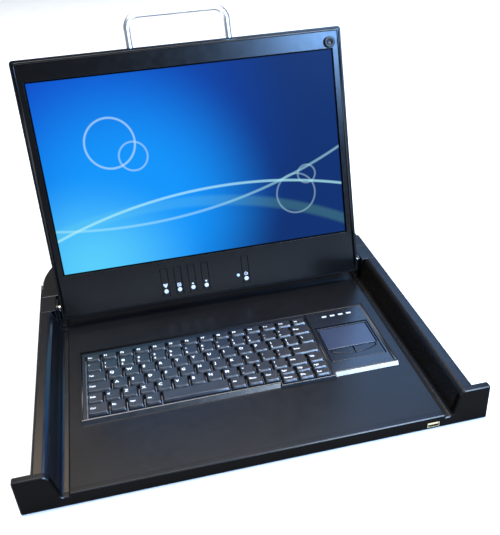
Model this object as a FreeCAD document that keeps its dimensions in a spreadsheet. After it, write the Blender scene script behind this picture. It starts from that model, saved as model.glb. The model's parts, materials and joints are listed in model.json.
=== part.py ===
"""Rack-mounted display and keyboard drawer, one unit high, as a parametric assembly.

Frame: X to the right, Y towards the back of the rack, Z up, in millimetres.
The origin is on the underside, mid-width, in the plane where the mounting ears rest on the rack posts.
The drawer is drawn pushed in and the display is drawn raised.
"""
import FreeCAD, Part
import math
import os

import Sketcher

doc = FreeCAD.newDocument("console_drawer")
sheet = doc.addObject("Spreadsheet::Sheet", "Sizes")

DRIVING_SIZES = [
    # the front panel and the rack that it closes on
    ("panel_height", 44.0, "top of the front panel and of the side walls"),
    ("panel_thickness", 6.8, "front panel, front to back"),
    ("panel_foot", 0.5, "air under the front panel"),
    ("panel_edge", 1.2, "rounding of the panel's front edges"),
    ("panel_corner", 2.0, "rounding of the panel's outer corners"),
    ("panel_skin", 2.4, "wall left in front of the recess behind each panel ear"),
    ("recess_width", 15.0, "recess behind a panel ear, for the rack screws' heads"),
    ("recess_height", 38.0, "recess behind a panel ear, bottom to top"),
    ("rack_gap", 0.4, "air between the panel and the mounting ears"),
    ("ear_thickness", 2.0, "steel of the mounting ears"),
    ("ear_inset", 0.5, "mounting ear's end inside the panel's end"),
    ("ear_foot", 1.2, "bottom of the mounting ears"),
    ("ear_drop", 1.4, "top of the mounting ears below the panel's top"),
    ("hole_inset", 8.75, "middle of a rack hole to the panel's end"),
    ("hole_spacing_z", 31.75, "rack holes, bottom to top"),
    ("hole_middle", 22.0, "height of the middle of the rack holes"),
    ("rack_slot_length", 10.5, "oblong rack hole, end to end"),
    ("rack_slot_width", 6.8, "oblong rack hole, bottom to top"),
    # the fixed chassis
    ("ear_reach", 17.8, "front panel beyond the side plate"),
    ("plate_overlap", 2.2, "side plates past the start of the rear cover's round corners"),
    ("side_plate", 1.5, "steel of the side plates"),
    ("side_plate_drop", 0.8, "top of the side plates below the panel's top"),
    ("pan_floor", 1.2, "steel of the chassis floor"),
    ("vent_length", 60.0, "slot in the chassis floor"),
    ("vent_width", 6.0, "slot in the chassis floor"),
    ("vent_pitch", 40.0, "between slots in the chassis floor"),
    ("vent_rows", 7, "rows of slots in the chassis floor"),
    ("bracket_slot_length", 30.0, "slot for a rear bracket, front to back"),
    ("bracket_slot_width", 5.2, "slot for a rear bracket"),
    ("bracket_slot_pitch", 50.0, "between rear bracket slots, front to back"),
    ("bracket_slot_spacing", 24.0, "between rear bracket slots, bottom to top"),
    ("bracket_slot_back", 50.0, "middle of the rear bracket slots to the side plate's back edge"),
    # the telescopic slides
    ("slide_foot", 4.0, "bottom of the outer slide member"),
    ("slide_drop", 3.9, "top of the outer slide member below the side plate's top"),
    ("slide_depth", 12.7, "closed slide, side to side"),
    ("slide_steel", 1.2, "steel of every slide member"),
    ("slide_lip", 2.5, "in-turned lip of a slide member"),
    ("slide_play", 0.4, "running gap between slide members"),
    ("slide_end", 4.0, "back end of the slides inside the side plates"),
    ("slide_start", 6.0, "front end of the slides"),
    # the drawer's tray and covers
    ("tray_floor", 2.0, "underside of the tray"),
    ("tray_steel", 1.2, "steel of the tray"),
    ("tray_wall_drop", 10.0, "top of the tray's side walls below the panel's top"),
    ("rear_depth", 142.0, "rear cover, front to back"),
    ("cover_corner", 110.0, "rear cover's corners, seen from above"),
    ("cover_gap", 0.4, "air between the covers and the chassis side plates"),
    ("cover_skin", 1.6, "wall of the covers and of the deck"),
    ("cover_edge", 0.8, "rounding of the covers' edges"),
    ("wall_top", 13.1, "flat top of a side wall"),
    ("fold_radius", 7.0, "rounding of that corner"),
    ("wall_run", 7.5, "slope of a side wall, from its foot outwards"),
    ("lid_side_air", 4.0, "display's side to the side wall's foot"),
    ("foot_radius", 4.0, "hollow at the side wall's foot"),
    ("gutter_height", 12.8, "floor of the gutter beside the deck"),
    ("ledge_reach", 3.8, "ledge under the deck"),
    ("deck_rise", 3.5, "palm rest above the gutter"),
    ("gutter_width", 7.2, "gutter between the deck and the side wall"),
    ("deck_edge", 2.0, "rounding of the deck's side edges"),
    ("rear_vent_count", 15, "vents in the rear cover"),
    ("rear_vent_pitch", 10.0, "between vents in the rear cover"),
    ("rear_vent_width", 3.0, "vent in the rear cover"),
    ("rear_vent_length", 50.0, "vent in the rear cover, front to back"),
    ("rear_cover_back", 23.7, "hinge line to the rear cover"),
    ("hinge_cap_front", 12.3, "front of the hinge caps to the hinge line"),
    ("hinge_side_air", 7.0, "display's side to the hinge cap's inner wall"),
    # the hinges and the display
    ("lid_front_air", 0.3, "folded display's top edge behind the front panel's face"),
    ("lid_sink", 0.2, "folded display's back below the panel's top"),
    ("display_lean", 15.2, "degrees that the raised display leans back"),
    ("pin_radius", 3.0, "hinge pin"),
    ("pin_play", 0.05, "running gap round the hinge pin"),
    ("bracket_air", 0.3, "hinge cap's inner wall to the hinge bracket"),
    ("bracket_steel", 3.0, "hinge bracket's upright"),
    ("bracket_foot_steel", 2.5, "hinge bracket's foot"),
    ("bracket_foot_reach", 8.2, "hinge bracket's foot, side to side"),
    ("bracket_rear", 17.7, "hinge line to the bracket's back edge"),
    ("bracket_nose", 5.3, "rounding of the bracket round the pin"),
    ("barrel_radius", 4.2, "washer on the pin beside the display"),
    ("bezel_side", 12.7, "lit part of the screen to the display's side"),
    ("display_below", 12.0, "display below the hinge line"),
    ("bezel_top", 26.0, "lit part of the screen to the display's top"),
    ("display_front", 13.0, "hinge line to the display's face"),
    ("display_rear", 5.3, "hinge line to the display's back"),
    ("display_corner", 4.0, "display's corners"),
    ("display_edge", 2.5, "rounding of the display's back edges"),
    ("shell_wall", 2.0, "display shell's sides"),
    ("shell_back", 1.8, "display shell's back"),
    ("bezel_gap", 0.3, "air between the bezel and the shell's rim"),
    ("bezel_thickness", 2.6, "display bezel"),
    ("screen_width", 368.6, "lit part of the screen"),
    ("screen_height", 230.4, "lit part of the screen"),
    ("screen_foot", 44.6, "hinge line to the lit part's bottom"),
    ("screen_border", 1.4, "dark border round the lit part"),
    ("panel_frame_x", 6.7, "screen module's frame beside the lit part"),
    ("panel_frame_z", 7.3, "screen module's frame above and below the lit part"),
    ("module_thickness", 6.8, "screen module"),
    ("holder_steel", 2.0, "strips that hold the screen module"),
    ("tongue_width", 8.2, "button tongue in the bezel"),
    ("tongue_slit", 0.6, "slit beside a button tongue"),
    ("tongue_foot", -4.0, "lower end of the tongues, from the hinge line"),
    ("tongue_root", 33.0, "upper end of the tongues, from the hinge line"),
    ("tongue_thickness", 2.0, "button tongue"),
    ("tongue_end_gap", 0.3, "gap at the two ends of a tongue"),
    ("tongue_travel", 0.8, "travel of a tongue at its dot"),
    ("dot_height", 2.5, "middle of the buttons' dots, from the hinge line"),
    ("dot_radius", 2.9, "raised dot on a tongue"),
    ("dot_rise", 0.3, "raised dot on a tongue"),
    ("tongue_first", -62.7, "first menu button, from the middle"),
    ("tongue_pitch", 17.6, "between menu buttons"),
    ("power_x", 43.5, "power button, from the middle"),
    ("lamp_x", 33.2, "power lamp, from the middle"),
    ("lamp_height", 8.6, "power lamp, from the hinge line"),
    ("lamp_radius", 1.9, "power lamp"),
    ("bumper_side", 15.5, "middle of the bumper to the display's side"),
    ("bumper_top", 17.5, "middle of the bumper to the display's top"),
    ("bumper_radius", 6.6, "bumper"),
    ("bumper_rise", 4.0, "bumper"),
    ("bumper_dimple", 2.6, "dimple in the bumper, radius"),
    ("leaf_length", 30.0, "hinge leaf in the display, side to side"),
    ("leaf_height", 26.0, "hinge line to the top of the hinge leaf"),
    ("knuckle_length", 7.0, "hinge knuckle in the display"),
    ("driver_half", 55.0, "half the width of the screen's driver board"),
    ("driver_foot", 90.0, "hinge line to the driver board"),
    ("driver_height", 80.0, "driver board, bottom to top"),
    ("switch_size", 5.0, "switch behind a button"),
    ("switch_height", 3.4, "switch behind a button"),
    ("handle_half", 59.2, "middle of a handle leg, from the middle"),
    ("handle_radius", 4.0, "handle rod"),
    ("handle_bend", 15.0, "bend of the handle, at the rod's middle"),
    ("handle_reach", 35.7, "top of the display to the middle of the handle's bar"),
    ("handle_set_back", 6.8, "display's face to the middle of the handle rod"),
    ("handle_root", 9.0, "handle leg inside the display"),
    ("anchor_width", 16.0, "block that holds a handle leg"),
    # the keyboard
    ("key_pitch", 19.05, "between keys"),
    ("frame_front_border", 6.2, "frame in front of the space bar"),
    ("arrow_row", 12.7, "depth of a row of arrow keys"),
    ("function_row", 13.6, "depth of the row of function keys"),
    ("function_gap", 1.0, "air in front of the function keys"),
    ("key_gap", 0.8, "air between keys"),
    ("key_rise", 7.2, "top of the keys above the palm rest"),
    ("key_foot_rise", 2.5, "bottom of the keys above the palm rest"),
    ("key_draft_side", 1.7, "slope of a key's sides"),
    ("key_draft_front", 2.4, "slope of a key's front"),
    ("key_draft_back", 0.9, "slope of a key's back"),
    ("key_travel", 2.2, "travel of a key"),
    ("frame_rise", 4.3, "top of the keyboard frame above the palm rest"),
    ("frame_border", 6.3, "frame beside the keys and beside the touchpad"),
    ("palm_rest", 93.0, "front panel's face to the keyboard frame"),
    ("frame_back_border", 11.95, "frame behind the function keys"),
    ("bulge_border", 2.85, "frame in front of the arrow keys"),
    ("frame_margin", 0.8, "air between the keys and the frame's opening"),
    ("frame_bevel", 2.6, "bevel of the keyboard frame's back edge"),
    ("frame_edge", 0.7, "rounding of the keyboard frame's other edges"),
    ("frame_skin", 1.6, "wall of the keyboard frame's skirt"),
    ("skirt_drop", 7.3, "bottom of the keyboard frame's skirt below the palm rest"),
    ("skirt_inset", 1.4, "skirt's distance inside the frame's edge"),
    ("stem_width", 5.0, "stem under a key"),
    ("stem_play", 0.3, "air round a stem in the guide plate"),
    ("key_guide", 2.2, "guide plate for the stems, right under the frame"),
    ("key_plate", 1.2, "steel plate under the keys"),
    ("membrane", 0.8, "switch membrane on the steel plate"),
    ("pad_strip", 6.04, "frame between the keys and the touchpad's place"),
    ("pad_width", 67.5, "touchpad's place, side to side"),
    ("pad_front_border", 21.0, "frame in front of the touchpad's place"),
    ("pad_depth", 70.5, "touchpad's place, front to back"),
    ("pad_rim", 3.0, "surround beside the touchpad"),
    ("button_depth", 24.5, "front of the touchpad's place to the line between touchpad and buttons"),
    ("pad_drop", 0.8, "touchpad's surface below the frame's top"),
    ("pad_thickness", 2.4, "touchpad and its surround"),
    ("pad_ledge", 2.0, "ledge in the frame under the surround"),
    ("pad_gap", 0.35, "air round the touchpad and its buttons"),
    ("button_half", 27.5, "half the width of the touchpad's buttons"),
    ("button_side", 5.5, "depth of the buttons at their outer ends"),
    ("button_bow", 7.5, "bow of the buttons' front edge"),
    ("lens_inset", 19.0, "first status light from the left of the touchpad's place"),
    ("lens_pitch", 10.7, "between status lights"),
    ("lens_border", 16.0, "status lights to the back of the frame"),
    ("lens_width", 6.0, "status light"),
    ("lens_depth", 3.0, "status light"),
    ("lens_rise", 0.2, "status light above the frame"),
    ("lens_seat", 1.4, "status light below the frame's top"),
    # boards and sockets
    ("board", 1.6, "every circuit board"),
    ("post_radius", 3.0, "post under a circuit board"),
    ("usb_inset", 13.5, "middle of the front socket to the deck's side"),
    ("usb_middle", 6.2, "height of the front socket"),
    ("usb_width", 13.1, "front socket's shell"),
    ("usb_height", 5.7, "front socket's shell"),
    ("usb_depth", 14.0, "front socket's shell"),
    ("usb_steel", 0.5, "front socket's shell"),
    ("usb_tongue_width", 11.1, "tongue in the front socket"),
    ("usb_tongue", 1.8, "thickness of the tongue in the front socket"),
    ("usb_board_half", 12.0, "half the width of the front socket's board"),
    ("usb_board_depth", 26.0, "front socket's board"),
    ("socket_gap", 0.3, "air between a socket and the hole that it shows in"),
    ("control_half", 100.0, "half the width of the control board"),
    ("control_depth", 100.0, "control board, front to back"),
    ("control_height", 8.0, "underside of the control board"),
    ("control_back_gap", 3.0, "control board to the tray's back wall"),
    ("post_inset", 6.0, "board's edge to the middle of a post"),
    ("chip_width", 26.0, "large chip on the control board"),
    ("chip_height", 3.0, "large chip on the control board"),
    ("video_x", -40.0, "rear video socket, from the middle"),
    ("video_width", 39.0, "rear video socket"),
    ("video_height", 12.5, "rear video socket"),
    ("host_x", 12.0, "rear host socket, from the middle"),
    ("host_width", 12.0, "rear host socket"),
    ("host_height", 11.0, "rear host socket"),
    ("inlet_x", 48.0, "rear power inlet, from the middle"),
    ("inlet_width", 9.0, "rear power inlet"),
    ("inlet_height", 11.0, "rear power inlet"),
    ("inlet_bore", 3.2, "bore of the power inlet, radius"),
    ("inlet_pin", 1.0, "pin in the power inlet, radius"),
    ("socket_depth", 16.0, "every rear socket, front to back"),
    ("socket_mouth", 9.0, "depth of a rear socket's mouth"),
    ("socket_rim", 1.2, "rim round a rear socket's mouth"),
    ("socket_stand", 1.0, "rear sockets beyond the tray's back wall"),
    ("screw_radius", 3.0, "head of a cover screw"),
    ("screw_rise", 0.8, "head of a cover screw"),
    ("screw_inset", 10.0, "cover screw's middle inside the rear cover's edge"),
]

for row, (alias, number, note) in enumerate(DRIVING_SIZES, start=1):
    sheet.set(f"A{row}", note)
    sheet.set(f"B{row}", str(number))
    sheet.setAlias(f"B{row}", alias)
doc.recompute()


class Size:
    """A length or angle: its number now, and the formula that binds it to the sheet."""

    def __init__(self, number, formula):
        self.number = float(number)
        self.formula = formula

    def __add__(self, other):
        other = as_size(other)
        return Size(self.number + other.number, f"({self.formula} + {other.formula})")

    def __sub__(self, other):
        other = as_size(other)
        return Size(self.number - other.number, f"({self.formula} - {other.formula})")

    def __mul__(self, other):
        other = as_size(other)
        return Size(self.number * other.number, f"({self.formula} * {other.formula})")

    def __truediv__(self, other):
        other = as_size(other)
        return Size(self.number / other.number, f"({self.formula} / {other.formula})")

    def __neg__(self):
        return self * -1

    def __radd__(self, other):
        return as_size(other) + self

    def __rsub__(self, other):
        return as_size(other) - self

    def __rmul__(self, other):
        return as_size(other) * self


def as_size(value):
    """A Size as it is, and a bare number as a constant."""
    return value if isinstance(value, Size) else Size(value, f"({value!r})")


class Sheet:
    """The driving sizes by name."""

    def __getattr__(self, alias):
        return Size(sheet.get(alias), f"Sizes.{alias}")


s = Sheet()

# The rows of keys in key pitches: every row's width, and how many columns the arrow keys take at its end.
ROW_WIDTH = 14.25
ARROW_COLUMNS = 3

# Places that several pieces share. Across, they run outwards from the screen to the front panel's ends.
display_half = s.screen_width / 2 + s.bezel_side
display_above = s.screen_foot + s.screen_height + s.bezel_top
foot_x = display_half + s.lid_side_air
fold_x = foot_x + s.wall_run
cover_half = fold_x + s.wall_top
plate_inside = cover_half + s.cover_gap
chassis_half = plate_inside + s.side_plate
panel_half = chassis_half + s.ear_reach
hole_x = panel_half - s.hole_inset
tray_half = plate_inside - s.slide_depth
deck_half = foot_x - s.gutter_width
ledge_x = deck_half - s.ledge_reach
hinge_cap_x = display_half + s.hinge_side_air
bracket_x = hinge_cap_x - s.bracket_air
usb_x = deck_half - s.usb_inset

# Front to back.
panel_face = -(s.ear_thickness + s.rack_gap + s.panel_thickness)
panel_rear = panel_face + s.panel_thickness
hinge_y = panel_face + s.lid_front_air + display_above
rear_cover_y = hinge_y + s.rear_cover_back
hinge_cap_y = hinge_y - s.hinge_cap_front
drawer_rear = rear_cover_y + s.rear_depth
tray_rear = drawer_rear - s.cover_skin
chassis_depth = drawer_rear - s.cover_corner + s.plate_overlap

# Bottom to top.
tray_top = s.tray_floor + s.tray_steel
cover_under = s.panel_height - s.cover_skin
tray_wall_top = s.panel_height - s.tray_wall_drop
side_plate_top = s.panel_height - s.side_plate_drop
slide_top = side_plate_top - s.slide_drop
wall_slope = s.wall_run / (s.panel_height - s.gutter_height)
hinge_height = s.panel_height - s.lid_sink - s.display_rear
deck_height = s.gutter_height + s.deck_rise
key_top = deck_height + s.key_rise
key_foot = deck_height + s.key_foot_rise
frame_top = deck_height + s.frame_rise
skirt_foot = deck_height - s.skirt_drop
key_plate_top = skirt_foot + s.key_plate
membrane_top = key_plate_top + s.membrane
control_top = s.control_height + s.board

# The keyboard's plan.
frame_half = s.frame_border + (ROW_WIDTH * s.key_pitch + s.pad_strip + s.pad_width) / 2
key_left = s.frame_border - frame_half
key_right = key_left + ROW_WIDTH * s.key_pitch
pad_right = frame_half - s.frame_border
pad_left = pad_right - s.pad_width
frame_front = panel_face + s.palm_rest
key_front = frame_front + s.frame_front_border
arrow_front = key_front + s.key_pitch - 2 * s.arrow_row
function_front = key_front + 5 * s.key_pitch + s.function_gap
frame_back = function_front + s.function_row + s.frame_back_border
pad_front = frame_front + s.pad_front_border
pad_back = pad_front + s.pad_depth
pad_split = pad_front + s.button_depth
skirt_half = frame_half - s.skirt_inset
skirt_front = frame_front + s.skirt_inset
skirt_back = frame_back - s.skirt_inset

# The sockets on the tray's back wall: name, middle, width and height.
REAR_SOCKETS = [
    ("video_port", s.video_x, s.video_width, s.video_height),
    ("host_port", s.host_x, s.host_width, s.host_height),
    ("power_inlet", s.inlet_x, s.inlet_width, s.inlet_height),
]
X_AXIS = FreeCAD.Vector(1, 0, 0)
Y_AXIS = FreeCAD.Vector(0, 1, 0)
Z_AXIS = FreeCAD.Vector(0, 0, 1)
AXES = {"x": X_AXIS, "y": Y_AXIS, "z": Z_AXIS}
NEAR = 0.02
subparts = []


def bind(thing, prop, size):
    """Tie a property to the sheet."""
    thing.setExpression(prop, as_size(size).formula)


def place(thing, x=None, y=None, z=None):
    """Tie the parts of an object's position that are given."""
    for axis, value in (("x", x), ("y", y), ("z", z)):
        if value is not None:
            bind(thing, f"Placement.Base.{axis}", value)


def keep(name, thing):
    """Note an object as a piece of the assembly, under its own name."""
    thing.Label = name
    subparts.append(thing)
    return thing


# Solids made from primitives.

def block(label, x, y, z):
    """A box between two values along each axis."""
    box = doc.addObject("Part::Box", label)
    for prop, (low, high) in (("Length", x), ("Width", y), ("Height", z)):
        bind(box, prop, high - low)
    place(box, x[0], y[0], z[0])
    return box


TURNS = {"x": FreeCAD.Rotation(Y_AXIS, 90), "y": FreeCAD.Rotation(X_AXIS, -90), "z": FreeCAD.Rotation()}


def rod(label, axis, radius, start, length):
    """A cylinder that starts at a point and runs along an axis."""
    cylinder = doc.addObject("Part::Cylinder", label)
    cylinder.Placement = FreeCAD.Placement(FreeCAD.Vector(), TURNS[axis])
    bind(cylinder, "Radius", radius)
    bind(cylinder, "Height", length)
    place(cylinder, *start)
    return cylinder


def standoff(label, start, length):
    """A hexagonal standoff that starts at a point and runs upwards."""
    prism = doc.addObject("Part::Prism", label)
    prism.Polygon = 6
    bind(prism, "Circumradius", s.post_radius)
    bind(prism, "Height", length)
    place(prism, *start)
    return prism


def fuse(label, pieces):
    """Several solids as one."""
    union = doc.addObject("Part::MultiFuse", label)
    union.Shapes = pieces
    union.Refine = True
    return union


def cut(label, base, tools):
    """A solid less others."""
    rest = base
    for number, tool in enumerate(tools, start=1):
        last = number == len(tools)
        step = doc.addObject("Part::Cut", label if last else f"{label}_cut")
        step.Base = rest
        step.Tool = tool
        step.Refine = last
        rest = step
    return rest


def group(label, solids):
    """Separate solids that share one node."""
    compound = doc.addObject("Part::Compound", label)
    compound.Links = solids
    return compound


# Solids made from sketches.

ORIGIN_PLANES = {"xy": "XY_Plane", "xz": "XZ_Plane", "yz": "YZ_Plane"}


def new_body(label):
    """An empty body with its own origin."""
    return doc.addObject("PartDesign::Body", label)


def origin_plane(body, plane):
    """One of a body's own origin planes."""
    return next(p for p in body.Origin.OriginFeatures if p.Role == ORIGIN_PLANES[plane])


def pin_point(constraints, bindings, geometry, end, point):
    """Fix a point of a sketch at its distances from the origin."""
    for kind, value in (("DistanceX", point[0]), ("DistanceY", point[1])):
        value = as_size(value)
        bindings.append((len(constraints), value))
        constraints.append(Sketcher.Constraint(kind, -1, 1, geometry, end, value.number))


def flat(point):
    """A sketch point as a vector."""
    return FreeCAD.Vector(as_size(point[0]).number, as_size(point[1]).number, 0)


def draw_polygon(sketch, corners):
    """A closed outline of straight lines through bound corners."""
    first = sketch.GeometryCount
    count = len(corners)
    lines = [Part.LineSegment(flat(corners[i]), flat(corners[(i + 1) % count])) for i in range(count)]
    sketch.addGeometry(lines)
    constraints, bindings = [], []
    for i, corner in enumerate(corners):
        constraints.append(Sketcher.Constraint("Coincident", first + i, 2, first + (i + 1) % count, 1))
        pin_point(constraints, bindings, first + i, 1, corner)
    add_constraints(sketch, constraints, bindings)


def draw_circle(sketch, centre, radius):
    """A circle with a bound centre and radius."""
    first = sketch.GeometryCount
    sketch.addGeometry(Part.Circle(flat(centre), Z_AXIS, radius.number))
    constraints, bindings = [], []
    pin_point(constraints, bindings, first, 3, centre)
    bindings.append((len(constraints), radius))
    constraints.append(Sketcher.Constraint("Radius", first, radius.number))
    add_constraints(sketch, constraints, bindings)


def draw_slot(sketch, centre, length, width):
    """A slot with round ends that runs along the sketch's first axis."""
    first = sketch.GeometryCount
    radius = width / 2
    reach = length / 2 - radius
    left, right = (centre[0] - reach, centre[1]), (centre[0] + reach, centre[1])
    up = FreeCAD.Vector(0, radius.number, 0)
    quarter = math.pi / 2
    sketch.addGeometry([
        Part.ArcOfCircle(Part.Circle(flat(left), Z_AXIS, radius.number), quarter, 3 * quarter),
        Part.LineSegment(flat(left) - up, flat(right) - up),
        Part.ArcOfCircle(Part.Circle(flat(right), Z_AXIS, radius.number), -quarter, quarter),
        Part.LineSegment(flat(right) + up, flat(left) + up),
    ])
    constraints, bindings = [], []
    for i in range(4):
        constraints.append(Sketcher.Constraint("Tangent", first + i, 2, first + (i + 1) % 4, 1))
    pin_point(constraints, bindings, first, 3, left)
    pin_point(constraints, bindings, first + 2, 3, right)
    constraints.append(Sketcher.Constraint("Equal", first, first + 2))
    bindings.append((len(constraints), radius))
    constraints.append(Sketcher.Constraint("Radius", first, radius.number))
    add_constraints(sketch, constraints, bindings)


def add_constraints(sketch, constraints, bindings):
    """Put constraints into a sketch and tie their values to the sheet."""
    start = sketch.ConstraintCount
    sketch.addConstraint(constraints)
    for index, size in bindings:
        sketch.setExpression(f"Constraints[{start + index}]", size.formula)


def rectangle(x, y):
    """The four corners between two values along each axis."""
    return [(x[0], y[0]), (x[1], y[0]), (x[1], y[1]), (x[0], y[1])]


def new_sketch(body, plane, offset, polygons=(), circles=(), slots=()):
    """A sketch on an origin plane of its body, moved along the plane's normal."""
    sketch = body.newObject("Sketcher::SketchObject", f"{body.Label}_sketch")
    sketch.AttachmentSupport = [(origin_plane(body, plane), "")]
    sketch.MapMode = "FlatFace"
    bind(sketch, "AttachmentOffset.Base.z", offset)
    for corners in polygons:
        draw_polygon(sketch, corners)
    for centre, radius in circles:
        draw_circle(sketch, centre, radius)
    for centre, length, width in slots:
        draw_slot(sketch, centre, length, width)
    return sketch


def pad(body, plane, span, **outlines):
    """Add material between two values along the plane's axis. The XZ plane's normal is -Y."""
    low, high = as_size(span[0]), as_size(span[1])
    offset = -high if plane == "xz" else low
    sketch = new_sketch(body, plane, offset, **outlines)
    feature = body.newObject("PartDesign::Pad", f"{body.Label}_pad")
    feature.Profile = sketch
    bind(feature, "Length", high - low)
    body.Tip = feature
    return feature


def pocket(body, plane, span, **outlines):
    """Take material away between two values along the plane's axis, and make sure that some went."""
    doc.recompute()
    before = body.Shape.Volume
    low, high = as_size(span[0]), as_size(span[1])
    offset = -low if plane == "xz" else high
    sketch = new_sketch(body, plane, offset, **outlines)
    feature = body.newObject("PartDesign::Pocket", f"{body.Label}_pocket")
    feature.Profile = sketch
    bind(feature, "Length", high - low)
    body.Tip = feature
    doc.recompute()
    if not body.Shape.Volume < before:
        raise RuntimeError(f"{feature.Name} takes nothing away from {body.Label}")
    return feature


def repeat(body, feature, axis, pitch, count):
    """Copies of a feature in a row along one of the body's axes."""
    pattern = body.newObject("PartDesign::LinearPattern", f"{body.Label}_row")
    pattern.Originals = [feature]
    role = f"{axis.upper()}_Axis"
    line = next(a for a in body.Origin.OriginFeatures if a.Role == role)
    pattern.Direction = (line, [""])
    bind(pattern, "Length", pitch * (count - 1))
    bind(pattern, "Occurrences", count)
    body.Tip = pattern
    return pattern


def dress(body, kind, size, wanted):
    """Fillet or chamfer the edges of the body so far that pass a test."""
    doc.recompute()
    names = [f"Edge{i}" for i, edge in enumerate(body.Shape.Edges, start=1) if wanted(edge)]
    if not names:
        raise RuntimeError(f"no edge of {body.Label} to round")
    base = body.Tip
    feature = body.newObject(f"PartDesign::{kind}", f"{body.Label}_{kind.lower()}")
    feature.Base = (base, names)
    bind(feature, "Radius" if kind == "Fillet" else "Size", size)
    body.Tip = feature
    return feature


def middle(edge):
    """The middle of an edge's box."""
    return edge.BoundBox.Center


def edges_along(axis, places):
    """A test for straight edges along an axis that pass through given places across it."""
    others = [a for a in "xyz" if a != axis]
    targets = [[as_size(v).number for v in at] for at in places]

    def wanted(edge):
        if not isinstance(edge.Curve, Part.Line) or abs(edge.Curve.Direction.dot(AXES[axis])) < 0.999:
            return False
        at = [getattr(middle(edge), a) for a in others]
        return any(abs(at[0] - t[0]) < NEAR and abs(at[1] - t[1]) < NEAR for t in targets)

    return wanted


def edges_level(axis, value):
    """A test for edges that lie wholly in one plane across an axis."""
    level = as_size(value).number
    low, high = f"{axis.upper()}Min", f"{axis.upper()}Max"
    return lambda edge: all(abs(getattr(edge.BoundBox, end) - level) < NEAR for end in (low, high))


def mirrored(side, corners):
    """Outline corners on the right (1) or the left (-1)."""
    return [(side * x, z) for x, z in corners]


SIDES = (("left", -1), ("right", 1))


def span(side, low, high):
    """A span across the drawer, on the right (1) or the left (-1)."""
    return (low, high) if side == 1 else (-high, -low)


# The fixed chassis and the slides.

def chassis_pan():
    """Floor, side plates and mounting ears from one sheet, with rack slots, vents and bracket slots."""
    body = new_body("chassis_body")
    front = -s.ear_thickness
    walls = [(-chassis_half, 0), (chassis_half, 0), (chassis_half, side_plate_top),
             (plate_inside, side_plate_top), (plate_inside, s.pan_floor),
             (-plate_inside, s.pan_floor), (-plate_inside, side_plate_top),
             (-chassis_half, side_plate_top)]
    pad(body, "xz", (front, chassis_depth), polygons=[walls])
    ear_x, ear_z = (plate_inside, panel_half - s.ear_inset), (s.ear_foot, s.panel_height - s.ear_drop)
    ears = [rectangle(span(side, *ear_x), ear_z) for _, side in SIDES]
    pad(body, "xz", (front, 0), polygons=ears)
    holes = [((x * hole_x, s.hole_middle + z * s.hole_spacing_z / 2),
              s.rack_slot_length, s.rack_slot_width) for x in (-1, 1) for z in (-1, 1)]
    pocket(body, "xz", (front, 0), slots=holes)
    bracket_y = chassis_depth - s.bracket_slot_back
    brackets = [((bracket_y + y * s.bracket_slot_pitch / 2, s.hole_middle + z * s.bracket_slot_spacing / 2),
                 s.bracket_slot_length, s.bracket_slot_width) for y in (-1, 1) for z in (-1, 1)]
    pocket(body, "yz", (-chassis_half, chassis_half), slots=brackets)
    vent_x, vent_y = (s.vent_length, 2 * s.vent_length), (s.vent_pitch, s.vent_pitch + s.vent_width)
    vents = [rectangle(span(side, *vent_x), vent_y) for _, side in SIDES]
    vent = pocket(body, "xy", (0, s.pan_floor), polygons=vents)
    repeat(body, vent, "y", s.vent_pitch, s.vent_rows)
    dress(body, "Fillet", s.side_plate, edges_along("y", [(-chassis_half, 0), (chassis_half, 0)]))
    keep("chassis_pan", body)


def slide_outline(side, outer, inner, foot, top):
    """A channel that opens towards the drawer, with in-turned lips."""
    steel, lip = s.slide_steel, s.slide_lip
    return mirrored(side, [
        (outer, foot), (outer, top), (inner, top), (inner, top - steel - lip),
        (inner + steel, top - steel - lip), (inner + steel, top - steel), (outer - steel, top - steel),
        (outer - steel, foot + steel), (inner + steel, foot + steel),
        (inner + steel, foot + steel + lip), (inner, foot + steel + lip), (inner, foot)])


def slides(name, side):
    """The three members of one telescopic slide, nested at the running gap."""
    steel, play, lip = s.slide_steel, s.slide_play, s.slide_lip
    length = (s.slide_start, chassis_depth - s.slide_end)
    foot, top = s.slide_foot, slide_top
    outer_mouth = tray_half + steel + 3 * play
    middle_mouth = outer_mouth + steel + play
    outer = new_body(f"outer_member_{name}")
    pad(outer, "xz", length, polygons=[slide_outline(side, plate_inside, outer_mouth, foot, top)])
    keep(f"slide_outer_{name}", outer)
    step = steel + play
    member = new_body(f"middle_member_{name}")
    outline = slide_outline(side, plate_inside - step, middle_mouth, foot + step, top - step)
    pad(member, "xz", length, polygons=[outline])
    keep(f"slide_middle_{name}", member)
    inner_top = top - 2 * step - lip
    inner_foot = foot + 2 * step + lip
    reach = plate_inside - 2 * step
    hat = mirrored(side, [
        (tray_half, inner_foot), (reach, inner_foot), (reach, inner_foot + steel),
        (tray_half + steel, inner_foot + steel), (tray_half + steel, inner_top - steel),
        (reach, inner_top - steel), (reach, inner_top), (tray_half, inner_top)])
    inner = new_body(f"inner_member_{name}")
    pad(inner, "xz", length, polygons=[hat])
    keep(f"slide_inner_{name}", inner)


# The drawer.

def tray_outline(inset):
    """The tray's plan, a distance inside its outer face."""
    return rectangle((-(tray_half - inset), tray_half - inset), (panel_rear + inset, tray_rear - inset))


def usb_opening(y, gap):
    """The hole round the front socket, through whatever lies between two values of Y."""
    half_width, half_height = s.usb_width / 2 + gap, s.usb_height / 2 + gap
    return {"x": (usb_x - half_width, usb_x + half_width), "y": y,
            "z": (s.usb_middle - half_height, s.usb_middle + half_height)}


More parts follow.
